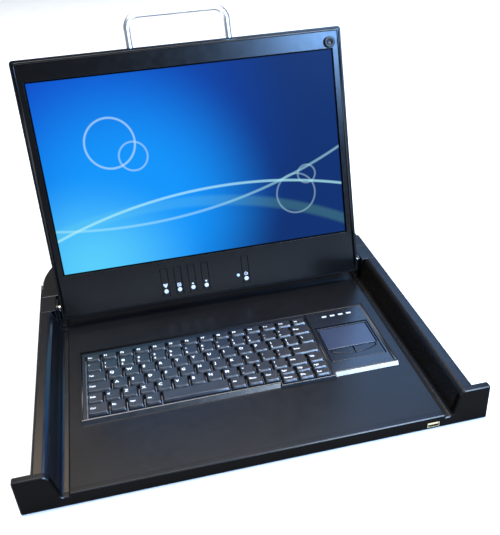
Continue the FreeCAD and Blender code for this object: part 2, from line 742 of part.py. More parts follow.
def drawer_tray():
    """The steel tray that carries everything, with round back corners and holes for the sockets."""
    steel = s.tray_steel
    corner = s.cover_corner - (cover_half - tray_half)
    outside = new_body("tray_outside")
    pad(outside, "xy", (s.tray_floor, cover_under), polygons=[tray_outline(0)])
    dress(outside, "Fillet", corner, edges_along("z", [(tray_half, tray_rear), (-tray_half, tray_rear)]))
    inside = new_body("tray_inside")
    pad(inside, "xy", (tray_top, s.panel_height), polygons=[tray_outline(steel)])
    corners = [(side * (tray_half - steel), tray_rear - steel) for _, side in SIDES]
    dress(inside, "Fillet", corner - steel, edges_along("z", corners))
    tools = [inside,
             block("above_low_walls", (-tray_half, tray_half), (panel_rear, rear_cover_y),
                   (tray_wall_top, s.panel_height)),
             block("above_low_front", (-tray_half, tray_half), (panel_rear, panel_rear + steel),
                   (s.gutter_height - s.cover_skin, s.panel_height)),
             block("front_left", (steel - tray_half, -ledge_x), (panel_rear, panel_rear + steel),
                   (tray_top, s.panel_height)),
             block("front_right", (ledge_x, tray_half - steel), (panel_rear, panel_rear + steel),
                   (tray_top, s.panel_height)),
             block("tray_usb_hole", **usb_opening((panel_rear, panel_rear + steel), s.socket_gap))]
    for name, x, width, height in REAR_SOCKETS:
        half = width / 2 + s.socket_gap
        tools.append(block(f"{name}_hole", (x - half, x + half), (tray_rear - steel, tray_rear),
                           (control_top - s.socket_gap, control_top + height + s.socket_gap)))
    keep("drawer_tray", cut("tray_shell", outside, tools))


def panel_outline():
    """The front panel's silhouette: a low lip between two raised ears that follow the side walls."""
    right = [(deck_half, deck_height), (deck_half, s.gutter_height), (foot_x, s.gutter_height),
             (fold_x, s.panel_height), (panel_half, s.panel_height), (panel_half, s.panel_foot)]
    return right + [(-x, z) for x, z in reversed(right)]


def front_panel():
    """The moulded front panel, with rounded ears that are hollow behind for the rack screws' heads."""
    body = new_body("front_panel_body")
    pad(body, "xz", (panel_face, panel_rear), polygons=[panel_outline()])
    both = [-1, 1]
    dress(body, "Fillet", s.fold_radius, edges_along("y", [(k * fold_x, s.panel_height) for k in both]))
    dress(body, "Fillet", s.foot_radius, edges_along("y", [(k * foot_x, s.gutter_height) for k in both]))
    dress(body, "Fillet", s.deck_edge, edges_along("y", [(k * deck_half, deck_height) for k in both]))
    corners = [(k * panel_half, z) for k in both for z in (s.panel_foot, s.panel_height)]
    dress(body, "Fillet", s.panel_corner, edges_along("y", corners))
    dress(body, "Chamfer", s.panel_edge, edges_level("y", panel_face))
    recess = [rectangle((k * hole_x - s.recess_width / 2,
                         k * hole_x + s.recess_width / 2),
                        (s.hole_middle - s.recess_height / 2, s.hole_middle + s.recess_height / 2))
              for k in both]
    pocket(body, "xz", (panel_face + s.panel_skin, panel_rear), polygons=recess)
    hole = usb_opening((panel_face, panel_rear), s.socket_gap)
    pocket(body, "xz", hole["y"], polygons=[rectangle(hole["x"], hole["z"])])
    keep("front_panel", body)


def side_cover(name, side):
    """A side wall's skin: flat top over the slide, rounded fold, sloping wall, gutter and ledge."""
    skin = s.cover_skin
    under_x = fold_x - wall_slope * skin + skin
    ledge_under = s.gutter_height - skin
    under_foot = foot_x - wall_slope * skin + skin
    body = new_body(f"side_cover_{name}")
    outline = mirrored(side, [
        (cover_half, s.panel_height), (fold_x, s.panel_height), (foot_x, s.gutter_height),
        (ledge_x, s.gutter_height), (ledge_x, tray_top), (ledge_x + skin, tray_top),
        (ledge_x + skin, ledge_under), (under_foot, ledge_under), (under_x, cover_under),
        (cover_half, cover_under)])
    pad(body, "xz", (panel_rear, hinge_cap_y), polygons=[outline])
    dress(body, "Fillet", s.fold_radius, edges_along("y", [(side * fold_x, s.panel_height)]))
    dress(body, "Fillet", s.fold_radius - skin, edges_along("y", [(side * under_x, cover_under)]))
    dress(body, "Fillet", s.foot_radius, edges_along("y", [(side * foot_x, s.gutter_height)]))
    dress(body, "Fillet", s.cover_edge, edges_along("y", [(side * cover_half, s.panel_height)]))
    keep(f"side_cover_{name}", body)


def hinge_cap(name, side):
    """The cap behind a side cover: it widens the flat top inwards over the hinge bracket."""
    skin = s.cover_skin
    ledge_under = s.gutter_height - skin
    body = new_body(f"hinge_cap_{name}")
    outline = mirrored(side, [
        (cover_half, s.panel_height), (hinge_cap_x, s.panel_height), (hinge_cap_x, s.gutter_height),
        (ledge_x, s.gutter_height), (ledge_x, tray_top), (ledge_x + skin, tray_top),
        (ledge_x + skin, ledge_under), (hinge_cap_x + skin, ledge_under),
        (hinge_cap_x + skin, cover_under), (cover_half, cover_under)])
    pad(body, "xz", (hinge_cap_y, rear_cover_y), polygons=[outline])
    edges = [(side * cover_half, s.panel_height), (side * hinge_cap_x, s.panel_height)]
    dress(body, "Fillet", s.cover_edge, edges_along("y", edges))
    keep(f"hinge_cap_{name}", body)


def deck_plate():
    """The palm rest: a folded plate with the keyboard's opening."""
    skin = s.cover_skin
    body = new_body("deck_plate")
    right = [(deck_half - skin, deck_height - skin), (deck_half - skin, s.gutter_height),
             (deck_half, s.gutter_height), (deck_half, deck_height)]
    outline = right + [(-x, z) for x, z in reversed(right)]
    pad(body, "xz", (panel_rear, rear_cover_y + skin), polygons=[outline])
    edges = [(-deck_half, deck_height), (deck_half, deck_height)]
    dress(body, "Fillet", s.deck_edge, edges_along("y", edges))
    half = skirt_half + s.socket_gap
    pocket(body, "xy", (deck_height - skin, deck_height), polygons=[
        rectangle((-half, half), (skirt_front - s.socket_gap, skirt_back + s.socket_gap))])
    keep("deck_plate", body)


def rear_cover():
    """The cover behind the hinge line: broad round corners, a front wall and a row of vents."""
    body = new_body("rear_cover")
    pad(body, "xy", (cover_under, s.panel_height), polygons=[
        rectangle((-cover_half, cover_half), (rear_cover_y, drawer_rear))])
    corners = [(side * cover_half, drawer_rear) for _, side in SIDES]
    dress(body, "Fillet", s.cover_corner, edges_along("z", corners))
    wall = tray_half - s.tray_steel - s.slide_play
    pad(body, "xz", (rear_cover_y, rear_cover_y + s.cover_skin), polygons=[
        rectangle((-wall, wall), (deck_height, cover_under))])
    dress(body, "Chamfer", s.cover_edge, edges_level("z", s.panel_height))
    first = -(s.rear_vent_count - 1) / 2 * s.rear_vent_pitch
    middle_y = (rear_cover_y + drawer_rear) / 2
    half_width, half_length = s.rear_vent_width / 2, s.rear_vent_length / 2
    slot = rectangle((first - half_width, first + half_width), (middle_y - half_length, middle_y + half_length))
    vent = pocket(body, "xy", (cover_under, s.panel_height), polygons=[slot])
    repeat(body, vent, "x", s.rear_vent_pitch, s.rear_vent_count)
    keep("rear_cover", body)


def cover_screws():
    """The screws' heads on the rear cover, as separate solids in one group."""
    across = cover_half - s.cover_corner
    places = [(side * across, y) for _, side in SIDES
              for y in (rear_cover_y + s.screw_inset, drawer_rear - s.screw_inset)]
    heads = [rod(f"screw_head_{i}", "z", s.screw_radius, (x, y, s.panel_height), s.screw_rise)
             for i, (x, y) in enumerate(places)]
    keep("cover_screws", group("screw_heads", heads))


# The hinges and the display. Display pieces are drawn flat, face up, with the hinge line on the X axis,
# and are then leaned back about that line.

def hang(name, thing):
    """Keep a display piece, leaned back about the hinge line. A primitive comes inside a group."""
    thing.Placement = FreeCAD.Placement(FreeCAD.Vector(), FreeCAD.Rotation(X_AXIS, 45))
    bind(thing, "Placement.Rotation.Angle", 90 - s.display_lean)
    place(thing, y=hinge_y, z=hinge_height)
    return keep(name, thing)


def hinge_bracket(name, side):
    """The steel bracket on the drawer: a foot on the ledge and an upright that is rounded round the pin."""
    steel = s.bracket_steel
    upright = new_body(f"bracket_upright_{name}")
    front, back = hinge_y - s.bracket_nose, hinge_y + s.bracket_rear
    x = span(side, bracket_x - steel, bracket_x)
    top = hinge_height + s.bracket_nose
    pad(upright, "yz", x, polygons=[rectangle((front, back), (s.gutter_height, top))])
    dress(upright, "Fillet", s.bracket_nose - NEAR, edges_along("x", [(front, top)]))
    dress(upright, "Fillet", steel, edges_along("x", [(back, top)]))
    pocket(upright, "yz", x, circles=[((hinge_y, hinge_height), s.pin_radius + s.pin_play)])
    foot_span = span(side, bracket_x - s.bracket_foot_reach, bracket_x - steel)
    foot = block(f"bracket_foot_{name}", foot_span, (front, back),
                 (s.gutter_height, s.gutter_height + s.bracket_foot_steel))
    keep(f"hinge_bracket_{name}", fuse(f"bracket_{name}", [upright, foot]))


def hinge_leaf(name, side):
    """The leaf inside the display with its knuckle, pin and washer."""
    floor = -(s.display_rear - s.shell_back)
    inside = display_half - s.shell_wall
    leaf = block(f"leaf_plate_{name}", span(side, inside - s.leaf_length, inside),
                 (-s.pin_radius, s.leaf_height), (floor, floor + s.bracket_foot_steel))
    knuckle = block(f"leaf_knuckle_{name}", span(side, inside - s.knuckle_length, inside),
                    (-s.barrel_radius, s.barrel_radius), (floor, s.barrel_radius))
    low, high = span(side, inside - s.knuckle_length, bracket_x)
    pin = rod(f"leaf_pin_{name}", "x", s.pin_radius, (low, as_size(0), as_size(0)), high - low)
    low, high = span(side, display_half, bracket_x - s.bracket_steel - s.bezel_gap)
    washer = rod(f"leaf_washer_{name}", "x", s.barrel_radius, (low, as_size(0), as_size(0)), high - low)
    hang(f"hinge_leaf_{name}", fuse(f"leaf_{name}", [leaf, knuckle, pin, washer]))


def display_shell():
    """The display's back: a shallow box with rounded corners and edges, open at the front."""
    body = new_body("display_shell_body")
    half, below, above = display_half, -s.display_below, display_above
    pad(body, "xy", (-s.display_rear, s.display_front), polygons=[rectangle((-half, half), (below, above))])
    corners = [(x, y) for x in (-half, half) for y in (below, above)]
    dress(body, "Fillet", s.display_corner, edges_along("z", corners))
    dress(body, "Chamfer", s.display_edge, edges_level("z", -s.display_rear))
    wall = s.shell_wall
    inner = rectangle((wall - half, half - wall), (below + wall, above - wall))
    pocket(body, "xy", (s.shell_back - s.display_rear, s.display_front), polygons=[inner])
    corners = [(x, y) for x in (wall - half, half - wall) for y in (below + wall, above - wall)]
    dress(body, "Fillet", s.display_corner - wall, edges_along("z", corners))
    pocket(body, "yz", (-half, half), circles=[((as_size(0), as_size(0)), s.pin_radius)])
    leg_z = s.display_front - s.handle_set_back
    legs = [((side * s.handle_half, leg_z), s.handle_radius) for _, side in SIDES]
    pocket(body, "xz", (above - wall, above), circles=legs)
    hang("display_shell", body)


def tongue_places():
    """Name and middle of each button tongue."""
    names = ["menu_button", "select_button", "up_button", "down_button"]
    row = [(name, s.tongue_first + s.tongue_pitch * i) for i, name in enumerate(names)]
    return row + [("power_button", s.power_x)]


def display_bezel():
    """The bezel in the shell's rim, with the screen window, the buttons' slits and a hole for the lamp."""
    body = new_body("display_bezel")
    rim = s.shell_wall + s.bezel_gap
    half = display_half - rim
    below, above = rim - s.display_below, display_above - rim
    depth = (s.display_front - s.bezel_thickness, s.display_front)
    pad(body, "xy", depth, polygons=[rectangle((-half, half), (below, above))])
    corners = [(x, y) for x in (-half, half) for y in (below, above)]
    dress(body, "Fillet", s.display_corner - s.shell_wall, edges_along("z", corners))
    border = s.screen_border
    window = rectangle((-(s.screen_width / 2 + border), s.screen_width / 2 + border),
                       (s.screen_foot - border, s.screen_foot + s.screen_height + border))
    reach = s.tongue_width / 2 + s.tongue_slit
    gap = s.tongue_end_gap
    tongues = [rectangle((x - reach, x + reach), (s.tongue_foot - gap, s.tongue_root + gap))
               for _, x in tongue_places()]
    pocket(body, "xy", depth, polygons=[window] + tongues)
    pocket(body, "xy", depth, circles=[((s.lamp_x, s.lamp_height), s.lamp_radius)])
    hang("display_bezel", body)


def button_tongues():
    """A springy tongue with a raised dot for each button."""
    front = s.display_front
    for name, x in tongue_places():
        body = new_body(name)
        half = s.tongue_width / 2
        pad(body, "xy", (front - s.tongue_thickness, front),
            polygons=[rectangle((x - half, x + half), (s.tongue_foot, s.tongue_root))])
        pad(body, "xy", (front, front + s.dot_rise), circles=[((x, s.dot_height), s.dot_radius)])
        hang(name, body)


def screen_module():
    """The screen module, the strips that hold it and the board that drives it."""
    back = s.display_front - s.bezel_thickness - s.module_thickness
    half = s.screen_width / 2 + s.panel_frame_x
    y = (s.screen_foot - s.panel_frame_z, s.screen_foot + s.screen_height + s.panel_frame_z)
    module = block("module_case", (-half, half), y, (back, back + s.module_thickness))
    hang("screen_module", group("module", [module]))
    floor = s.shell_back - s.display_rear
    strips = [block(f"holder_strip_{name}", span(side, half, half + s.holder_steel), y,
                    (floor, back + s.module_thickness)) for name, side in SIDES]
    hang("module_holders", group("holders", strips))
    lift = (back - floor) / 2
    board = block("driver_card", (-s.driver_half, s.driver_half),
                  (s.driver_foot, s.driver_foot + s.driver_height), (floor + lift - s.board, floor + lift))
    posts = [standoff(f"driver_post_{i}", (x, s.driver_foot + y_step, floor), lift)
             for i, (x, y_step) in enumerate(
                 [(k * (s.driver_half - s.post_inset), step) for k in (-1, 1)
                  for step in (s.post_inset, s.driver_height - s.post_inset)])]
    chip = s.driver_half / 3
    middle_y = s.driver_foot + s.driver_height / 2
    chips = block("driver_chips", (-chip, chip), (middle_y - chip, middle_y + chip),
                  (floor + lift, back - s.bezel_gap))
    hang("driver_board", fuse("driver", [board, chips] + posts))


def button_board():
    """The narrow board behind the tongues, with a switch under each dot and a post at each end."""
    floor = s.shell_back - s.display_rear
    ends = (s.tongue_first - s.tongue_pitch / 2, s.power_x + s.tongue_pitch / 2)
    y = (s.dot_height - s.switch_size, s.dot_height + s.switch_size)
    top = s.display_front - s.tongue_thickness - s.tongue_travel - s.bezel_gap
    under = top - s.switch_height - s.board
    pieces = [block("button_card", ends, y, (under, under + s.board))]
    for name, x in tongue_places():
        half = s.switch_size / 2
        pieces.append(block(f"{name}_switch", (x - half, x + half),
                            (s.dot_height - half, s.dot_height + half), (under + s.board, top)))
    inset = s.post_radius
    for i, x in enumerate((ends[0] + inset, ends[1] - inset)):
        pieces.append(standoff(f"button_post_{i}", (x, s.dot_height, floor), under - floor))
    hang("button_board", fuse("buttons_card", pieces))
    lamp = rod("lamp", "z", s.lamp_radius, (s.lamp_x, s.lamp_height, under + s.board),
               s.display_front - under - s.board)
    hang("power_lamp", group("lamp_and_stem", [lamp]))


def bumper():
    """The round rubber bumper on the bezel, with a dimple."""
    body = new_body("bumper")
    centre = (display_half - s.bumper_side, display_above - s.bumper_top)
    top = s.display_front + s.bumper_rise
    pad(body, "xy", (s.display_front, top), circles=[(centre, s.bumper_radius)])
    pocket(body, "xy", (top - s.bumper_rise / 4, top), circles=[(centre, s.bumper_dimple)])
    hang("display_bumper", body)


def carry_handle():
    """The bent rod on the display's top edge, and the blocks that hold its legs."""
    z = s.display_front - s.handle_set_back
    root = display_above - s.handle_root
    bar = display_above + s.handle_reach
    bend, radius, half = s.handle_bend, s.handle_radius, s.handle_half
    body = new_body("carry_handle")
    path = body.newObject("Sketcher::SketchObject", "handle_path")
    path.AttachmentSupport = [(origin_plane(body, "xy"), "")]
    path.MapMode = "FlatFace"
    bind(path, "AttachmentOffset.Base.z", z)
    corners = [(-half, root), (-half, bar - bend), (-half + bend, bar), (half - bend, bar),
               (half, bar - bend), (half, root)]
    lines = [Part.LineSegment(flat(corners[i]), flat(corners[i + 1])) for i in (0, 2, 4)]
    centres = [(-half + bend, bar - bend), (half - bend, bar - bend)]
    circle = [Part.Circle(flat(centre), Z_AXIS, bend.number) for centre in centres]
    arcs = [Part.ArcOfCircle(circle[0], math.pi / 2, math.pi), Part.ArcOfCircle(circle[1], 0, math.pi / 2)]
    path.addGeometry([lines[0], arcs[0], lines[1], arcs[1], lines[2]])
    constraints, bindings = [], []
    for i, corner in enumerate(corners):
        pin_point(constraints, bindings, i - i % 2, 1 + i % 2, corner)
    for first, end, second, start in ((0, 2, 1, 2), (1, 1, 2, 1), (2, 2, 3, 2), (3, 1, 4, 1)):
        constraints.append(Sketcher.Constraint("Coincident", first, end, second, start))
    for geometry in (1, 3):
        bindings.append((len(constraints), bend))
        constraints.append(Sketcher.Constraint("Radius", geometry, bend.number))
    add_constraints(path, constraints, bindings)
    section = new_sketch(body, "xz", -root, circles=[((-half, z), radius)])
    pipe = body.newObject("PartDesign::AdditivePipe", "handle_pipe")
    pipe.Profile = section
    pipe.Spine = path
    body.Tip = pipe
    hang("carry_handle", body)
    floor = s.shell_back - s.display_rear
    width = s.anchor_width / 2
    blocks = []
    for name, side in SIDES:
        x = side * half
        base = block(f"anchor_block_{name}", (x - width, x + width), (root, display_above - s.shell_wall),
                     (floor, s.display_front - s.bezel_thickness))
        hole = rod(f"anchor_hole_{name}", "y", radius, (x, root, z), s.handle_root)
        blocks.append(cut(f"anchor_{name}", base, [hole]))
    hang("handle_anchors", group("anchors", blocks))


# The keyboard.

LETTER_ROWS = [
    # name, rows in front of it, widths of its keys in key pitches from the left
    ("number_keys", 4, [1] * 13 + [1.25]),
    ("upper_letter_keys", 3, [1.25] + [1] * 13),
    ("home_letter_keys", 2, [1.5] + [1] * 11 + [1.75]),
    ("lower_letter_keys", 1, [1] * 12 + [1.25, 1]),
]
FUNCTION_ROW = [0.975] + [1.025] * 12 + [0.975]
LEFT_MODIFIERS = [1.25, 1, 1, 1]
SPACE_WIDTH = 4
RIGHT_MODIFIERS = [1, 1, 1]
stem_places = []


def key(label, x, y):
    """One key as a wedge that narrows upwards, inside the cell that two spans give, with its stem."""
    cap = doc.addObject("Part::Wedge", label)
    gap = s.key_gap / 2
    cap.Placement = FreeCAD.Placement(FreeCAD.Vector(), FreeCAD.Rotation(X_AXIS, 90))
    # The wedge narrows along its own Y, which the turn makes Z, and its Z becomes -Y.
    limits = {
        "Xmin": x[0] + gap, "Xmax": x[1] - gap,
        "X2min": x[0] + gap + s.key_draft_side, "X2max": x[1] - gap - s.key_draft_side,
        "Zmin": gap - y[1], "Zmax": -gap - y[0],
        "Z2min": gap + s.key_draft_back - y[1], "Z2max": -(y[0] + gap + s.key_draft_front),
        "Ymin": key_foot, "Ymax": key_top}
    for prop, size in limits.items():
        bind(cap, prop, size)
    centre = ((x[0] + x[1]) / 2, (y[0] + y[1]) / 2)
    stem_places.append(centre)
    half = s.stem_width / 2
    foot = membrane_top + s.key_travel + s.stem_play
    stem = block(f"{label}_stem", (centre[0] - half, centre[0] + half),
                 (centre[1] - half, centre[1] + half), (foot, key_foot))
    return fuse(f"{label}_on_stem", [cap, stem])


def key_row(name, start, widths, front, depth):
    """A row of keys from the left, as solids side by side."""
    keys = []
    for number, width in enumerate(widths):
        end = start + width
        x = (key_left + start * s.key_pitch, key_left + end * s.key_pitch)
        keys.append(key(f"{name}_{number}", x, (front, front + depth)))
        start = end
    return keys


def keys():
    """Every key: one node for each row, the space bar and the arrow keys."""
    for name, rows, widths in LETTER_ROWS:
        front = key_front + rows * s.key_pitch
        keep(name, group(f"{name}_row", key_row(name, 0, widths, front, s.key_pitch)))
    row = key_row("function_key", 0, FUNCTION_ROW, function_front, s.function_row)
    keep("function_keys", group("function_row", row))
    left = key_row("left_modifier", 0, LEFT_MODIFIERS, key_front, s.key_pitch)
    space_start = sum(LEFT_MODIFIERS)
    right_start = space_start + SPACE_WIDTH
    right = key_row("right_modifier", right_start, RIGHT_MODIFIERS, key_front, s.key_pitch)
    keep("modifier_keys", group("modifiers", left + right))
    keep("space_bar", key_row("space", space_start, [SPACE_WIDTH], key_front, s.key_pitch)[0])
    arrow_start = right_start + len(RIGHT_MODIFIERS)
    arrows = []
    for row in (0, 1):
        front = arrow_front + row * s.arrow_row
        arrows += key_row(f"arrow_{row}", arrow_start, [1] * ARROW_COLUMNS, front, s.arrow_row)
    keep("arrow_keys", group("arrows", arrows))


def lens_spans():
    """The places of the status lights."""
    first = pad_left + s.lens_inset - s.lens_width / 2
    return [(first + i * s.lens_pitch, first + i * s.lens_pitch + s.lens_width) for i in range(4)]


def keyboard_frame():
    """The moulded frame round the keys and the touchpad, with a skirt that drops through the deck."""
    half, front, back = frame_half, frame_front, frame_back
    bulge = arrow_front - s.bulge_border
    margin = s.frame_margin
    arrows_left = key_right - ARROW_COLUMNS * s.key_pitch
    keys_front, keys_back = key_front - margin, function_front + s.function_row + margin
    body = new_body("keyboard_frame_body")
    step = (arrows_left - 2 * margin, pad_left - 2 * margin)
    pad(body, "xy", (deck_height, frame_top), polygons=[[
        (-half, front), (step[0], front), (step[0], bulge), (step[1], bulge), (step[1], front),
        (half, front), (half, back), (-half, back)]])
    dress(body, "Chamfer", s.frame_bevel, edges_along("x", [(back, frame_top)]))
    skin = s.frame_skin
    pad(body, "xy", (skirt_foot, deck_height), polygons=[
        rectangle((-skirt_half, skirt_half), (skirt_front, skirt_back)),
        rectangle((skin - skirt_half, skirt_half - skin), (skirt_front + skin, skirt_back - skin))])
    opening = [(key_left - margin, keys_front), (arrows_left - margin, keys_front),
               (arrows_left - margin, arrow_front - margin), (key_right + margin, arrow_front - margin),
               (key_right + margin, keys_back), (key_left - margin, keys_back)]
    ledge = s.pad_ledge
    under_pad = rectangle((pad_left + ledge, pad_right - ledge),
                          (pad_front + ledge, pad_back - ledge))
    pocket(body, "xy", (deck_height, frame_top), polygons=[opening, under_pad])
    seat = frame_top - s.pad_drop - s.pad_thickness
    pocket(body, "xy", (seat, frame_top), polygons=[
        rectangle((pad_left, pad_right), (pad_front, pad_back))])
    lens_y = (frame_back - s.lens_border - s.lens_depth / 2, frame_back - s.lens_border + s.lens_depth / 2)
    pocket(body, "xy", (frame_top - s.lens_seat, frame_top),
           polygons=[rectangle(x, lens_y) for x in lens_spans()])
    dress(body, "Fillet", s.frame_edge, edges_along("x", [(front, frame_top), (bulge, frame_top)]))
    keep("keyboard_frame", body)
    lenses = [block(f"lens_{i}", x, lens_y, (frame_top - s.lens_seat, frame_top + s.lens_rise))
              for i, x in enumerate(lens_spans())]
    keep("status_lights", group("lenses", lenses))


def key_bed():
    """The plate that guides the keys' stems, the steel plate, the switch membrane and the board."""
    skin = s.frame_skin
    inside_x = (skin - skirt_half, skirt_half - skin)
    inside_y = (skirt_front + skin, skirt_back - skin)
    guide_z = (deck_height - s.key_guide, deck_height)
    half = s.stem_width / 2 + s.stem_play
    holes = [block(f"stem_hole_{i}", (x - half, x + half), (y - half, y + half), guide_z)
             for i, (x, y) in enumerate(stem_places)]
    plate = block("guide_sheet", (inside_x[0], key_right + s.frame_margin), inside_y, guide_z)
    keep("key_guide", cut("guide", plate, [group("stem_holes", holes)]))
    top = key_plate_top
    keep("key_plate", block("plate", inside_x, inside_y, (skirt_foot, top)))
    keep("key_membrane", block("switch_sheet", (key_left, key_right),
                               (inside_y[0], function_front + s.function_row), (top, membrane_top)))
    inset = s.pad_ledge
    y = (pad_front + inset, pad_back - inset)
    card = block("scan_card", (pad_left + inset, pad_right - inset), y, (top, top + s.board))
    middle_x, middle_y = (pad_left + pad_right) / 2, (y[0] + y[1]) / 2
    half = s.switch_size
    chip = block("scan_chip", (middle_x - half, middle_x + half), (middle_y - half, middle_y + half),
                 (top + s.board, top + s.board + s.board))
    keep("keyboard_board", fuse("scan_board", [card, chip]))


def button_arc(body, x, gap):
    """The touchpad buttons' plan: a straight back, short sides and a bowed front, cut to a span of X."""
    middle_x = (pad_left + pad_right) / 2
    half, bow = s.button_half + gap, s.button_bow
    radius = (half * half + bow * bow) / (2 * bow)
    back = pad_split + gap
    corner = pad_split - s.button_side
    bottom, top = frame_top - s.pad_drop - s.pad_thickness, frame_top - s.pad_drop
    disc = rod(f"{body}_disc", "z", radius, (middle_x, corner - gap - bow + radius, bottom), top - bottom)
    bar = block(f"{body}_bar", x, (corner - bow - 2 * gap, back), (bottom, top))
    common = doc.addObject("Part::Common", f"{body}_shape")
    common.Base = disc
    common.Tool = bar
    return common


def touchpad():
    """The touchpad, its two bowed buttons and the surround that they lie in."""
    middle_x = (pad_left + pad_right) / 2
    gap = s.pad_gap
    bottom, top = frame_top - s.pad_drop - s.pad_thickness, frame_top - s.pad_drop
    plate = block("surround_plate", (pad_left, pad_right), (pad_front, pad_back), (bottom, top))
    pad_x = (pad_left + s.pad_rim, pad_right - s.pad_rim)
    pad_span = (pad_split + gap, pad_back - s.pad_rim)
    window = block("pad_window", pad_x, pad_span, (bottom, top))
    half = s.button_half
    hole = button_arc("button_window", (middle_x - half - gap, middle_x + half + gap), gap)
    keep("touchpad_surround", cut("surround", plate, [window, hole]))
    keep("touchpad", block("pad_plate", (pad_x[0] + gap, pad_x[1] - gap),
                           (pad_span[0] + gap, pad_span[1] - gap), (bottom, top - gap / 2)))
    for name, side in SIDES:
        inner = side * gap / 2
        low, high = sorted((middle_x + inner, middle_x + side * half), key=lambda size: size.number)
        keep(f"touchpad_button_{name}", button_arc(f"pad_button_{name}", (low, high), as_size(0)))


# Boards and sockets.

def front_socket():
    """The front socket: a folded shell with its tongue, and the board that it hangs from."""
    steel = s.usb_steel
    x = (usb_x - s.usb_width / 2, usb_x + s.usb_width / 2)
    z = (s.usb_middle - s.usb_height / 2, s.usb_middle + s.usb_height / 2)
    y = (panel_face + s.socket_gap, panel_face + s.socket_gap + s.usb_depth)
    shell = block("usb_shell", x, y, z)
    mouth = block("usb_mouth", (x[0] + steel, x[1] - steel), (y[0], y[1] - steel),
                  (z[0] + steel, z[1] - steel))
    half = s.usb_tongue_width / 2
    tongue = block("usb_tongue", (usb_x - half, usb_x + half), (y[0] + steel, y[1] - steel),
                   (z[1] - 2 * steel - s.usb_tongue, z[1] - 2 * steel))
    keep("front_usb_port", fuse("usb_port", [cut("usb_open_shell", shell, [mouth]), tongue]))
    half = s.usb_board_half
    board_y = (panel_rear + s.tray_steel + s.socket_gap, panel_rear + s.usb_board_depth)
    card = block("usb_card", (usb_x - half, usb_x + s.usb_width / 2), board_y, (z[1], z[1] + s.board))
    under_deck = deck_height - s.cover_skin
    post = standoff("usb_post", (usb_x - half + s.post_inset, board_y[1] - s.post_inset, z[1] + s.board),
                    under_deck - z[1] - s.board)
    keep("usb_board", fuse("usb_card_and_post", [card, post]))


def control_board():
    """The board in the rear compartment on its posts, and the three sockets on its back edge."""
    y = (tray_rear - s.tray_steel - s.control_back_gap - s.control_depth,
         tray_rear - s.tray_steel - s.control_back_gap)
    half = s.control_half
    card = block("control_card", (-half, half), y, (s.control_height, control_top))
    rows = (y[0] + s.post_inset, y[1] - s.post_inset)
    corners = [(k * (half - s.post_inset), at) for k in (-1, 1) for at in rows]
    posts = [standoff(f"control_post_{i}", (x, at, tray_top), s.control_height - tray_top)
             for i, (x, at) in enumerate(corners)]
    chip_y, chip_z = (y[0] + s.chip_width, y[0] + 2 * s.chip_width), (control_top, control_top + s.chip_height)
    chips = [block(f"control_chip_{i}", (x - s.chip_width / 2, x + s.chip_width / 2), chip_y, chip_z)
             for i, x in enumerate((-2 * s.chip_width, as_size(0), 2 * s.chip_width))]
    keep("control_board", fuse("controller", [card] + posts + chips))
    socket_y = (tray_rear + s.socket_stand - s.socket_depth, tray_rear + s.socket_stand)
    for name, x, width, height in REAR_SOCKETS[:2]:
        shell = block(f"{name}_shell", (x - width / 2, x + width / 2), socket_y,
                      (control_top, control_top + height))
        rim = s.socket_rim
        mouth = block(f"{name}_mouth", (x - width / 2 + rim, x + width / 2 - rim),
                      (socket_y[1] - s.socket_mouth, socket_y[1]),
                      (control_top + rim, control_top + height - rim))
        core_z = control_top + height / 2
        core = block(f"{name}_core", (x - width / 2 + 2 * rim, x + width / 2 - 2 * rim),
                     (socket_y[1] - s.socket_mouth, socket_y[1] - rim), (core_z - rim, core_z + rim))
        keep(name, fuse(f"{name}_socket", [cut(f"{name}_open_shell", shell, [mouth]), core]))
    name, x, width, height = REAR_SOCKETS[2]
    case = block("inlet_case", (x - width / 2, x + width / 2), socket_y,
                 (control_top, control_top + height))
    centre = (x, socket_y[1] - s.socket_mouth, control_top + height / 2)
    bore = rod("inlet_bore_tool", "y", s.inlet_bore, centre, s.socket_mouth)
    pin = rod("inlet_centre_pin", "y", s.inlet_pin, centre, s.socket_mouth - s.inlet_pin)
    keep(name, fuse("inlet", [cut("inlet_open_case", case, [bore]), pin]))


chassis_pan()
for side_name, side_sign in SIDES:
    slides(side_name, side_sign)
    side_cover(side_name, side_sign)
    hinge_cap(side_name, side_sign)
    hinge_bracket(side_name, side_sign)
    hinge_leaf(side_name, side_sign)
drawer_tray()
front_panel()
deck_plate()
rear_cover()
cover_screws()
display_shell()
display_bezel()
button_tongues()
screen_module()
button_board()
bumper()
carry_handle()
keyboard_frame()
keys()
key_bed()
touchpad()
front_socket()
control_board()

doc.recompute()
bad = [thing.Label for thing in doc.Objects if "Invalid" in thing.State or "Error" in thing.State]
if bad:
    raise RuntimeError(f"not built: {bad}")

os.makedirs("parts", exist_ok=True)
for thing in subparts:
    shape = thing.Shape
    if shape.isNull() or not shape.isValid():
        raise RuntimeError(f"{thing.Label} has no valid shape")
    shape.exportStep(f"parts/{thing.Label}.step")
print(f"{len(subparts)} pieces written")
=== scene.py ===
# %% [markdown]
# # A console drawer for a rack
# This lesson dresses a drawer that holds a keyboard, a touchpad and a fold-up display.
# The solids come from CAD and are already in place, in metres.
# We load them first, because every other step asks them where things are.

# %% Load the solids
import json
import math

import bmesh
import bpy
import numpy as np
from mathutils import Matrix, Vector

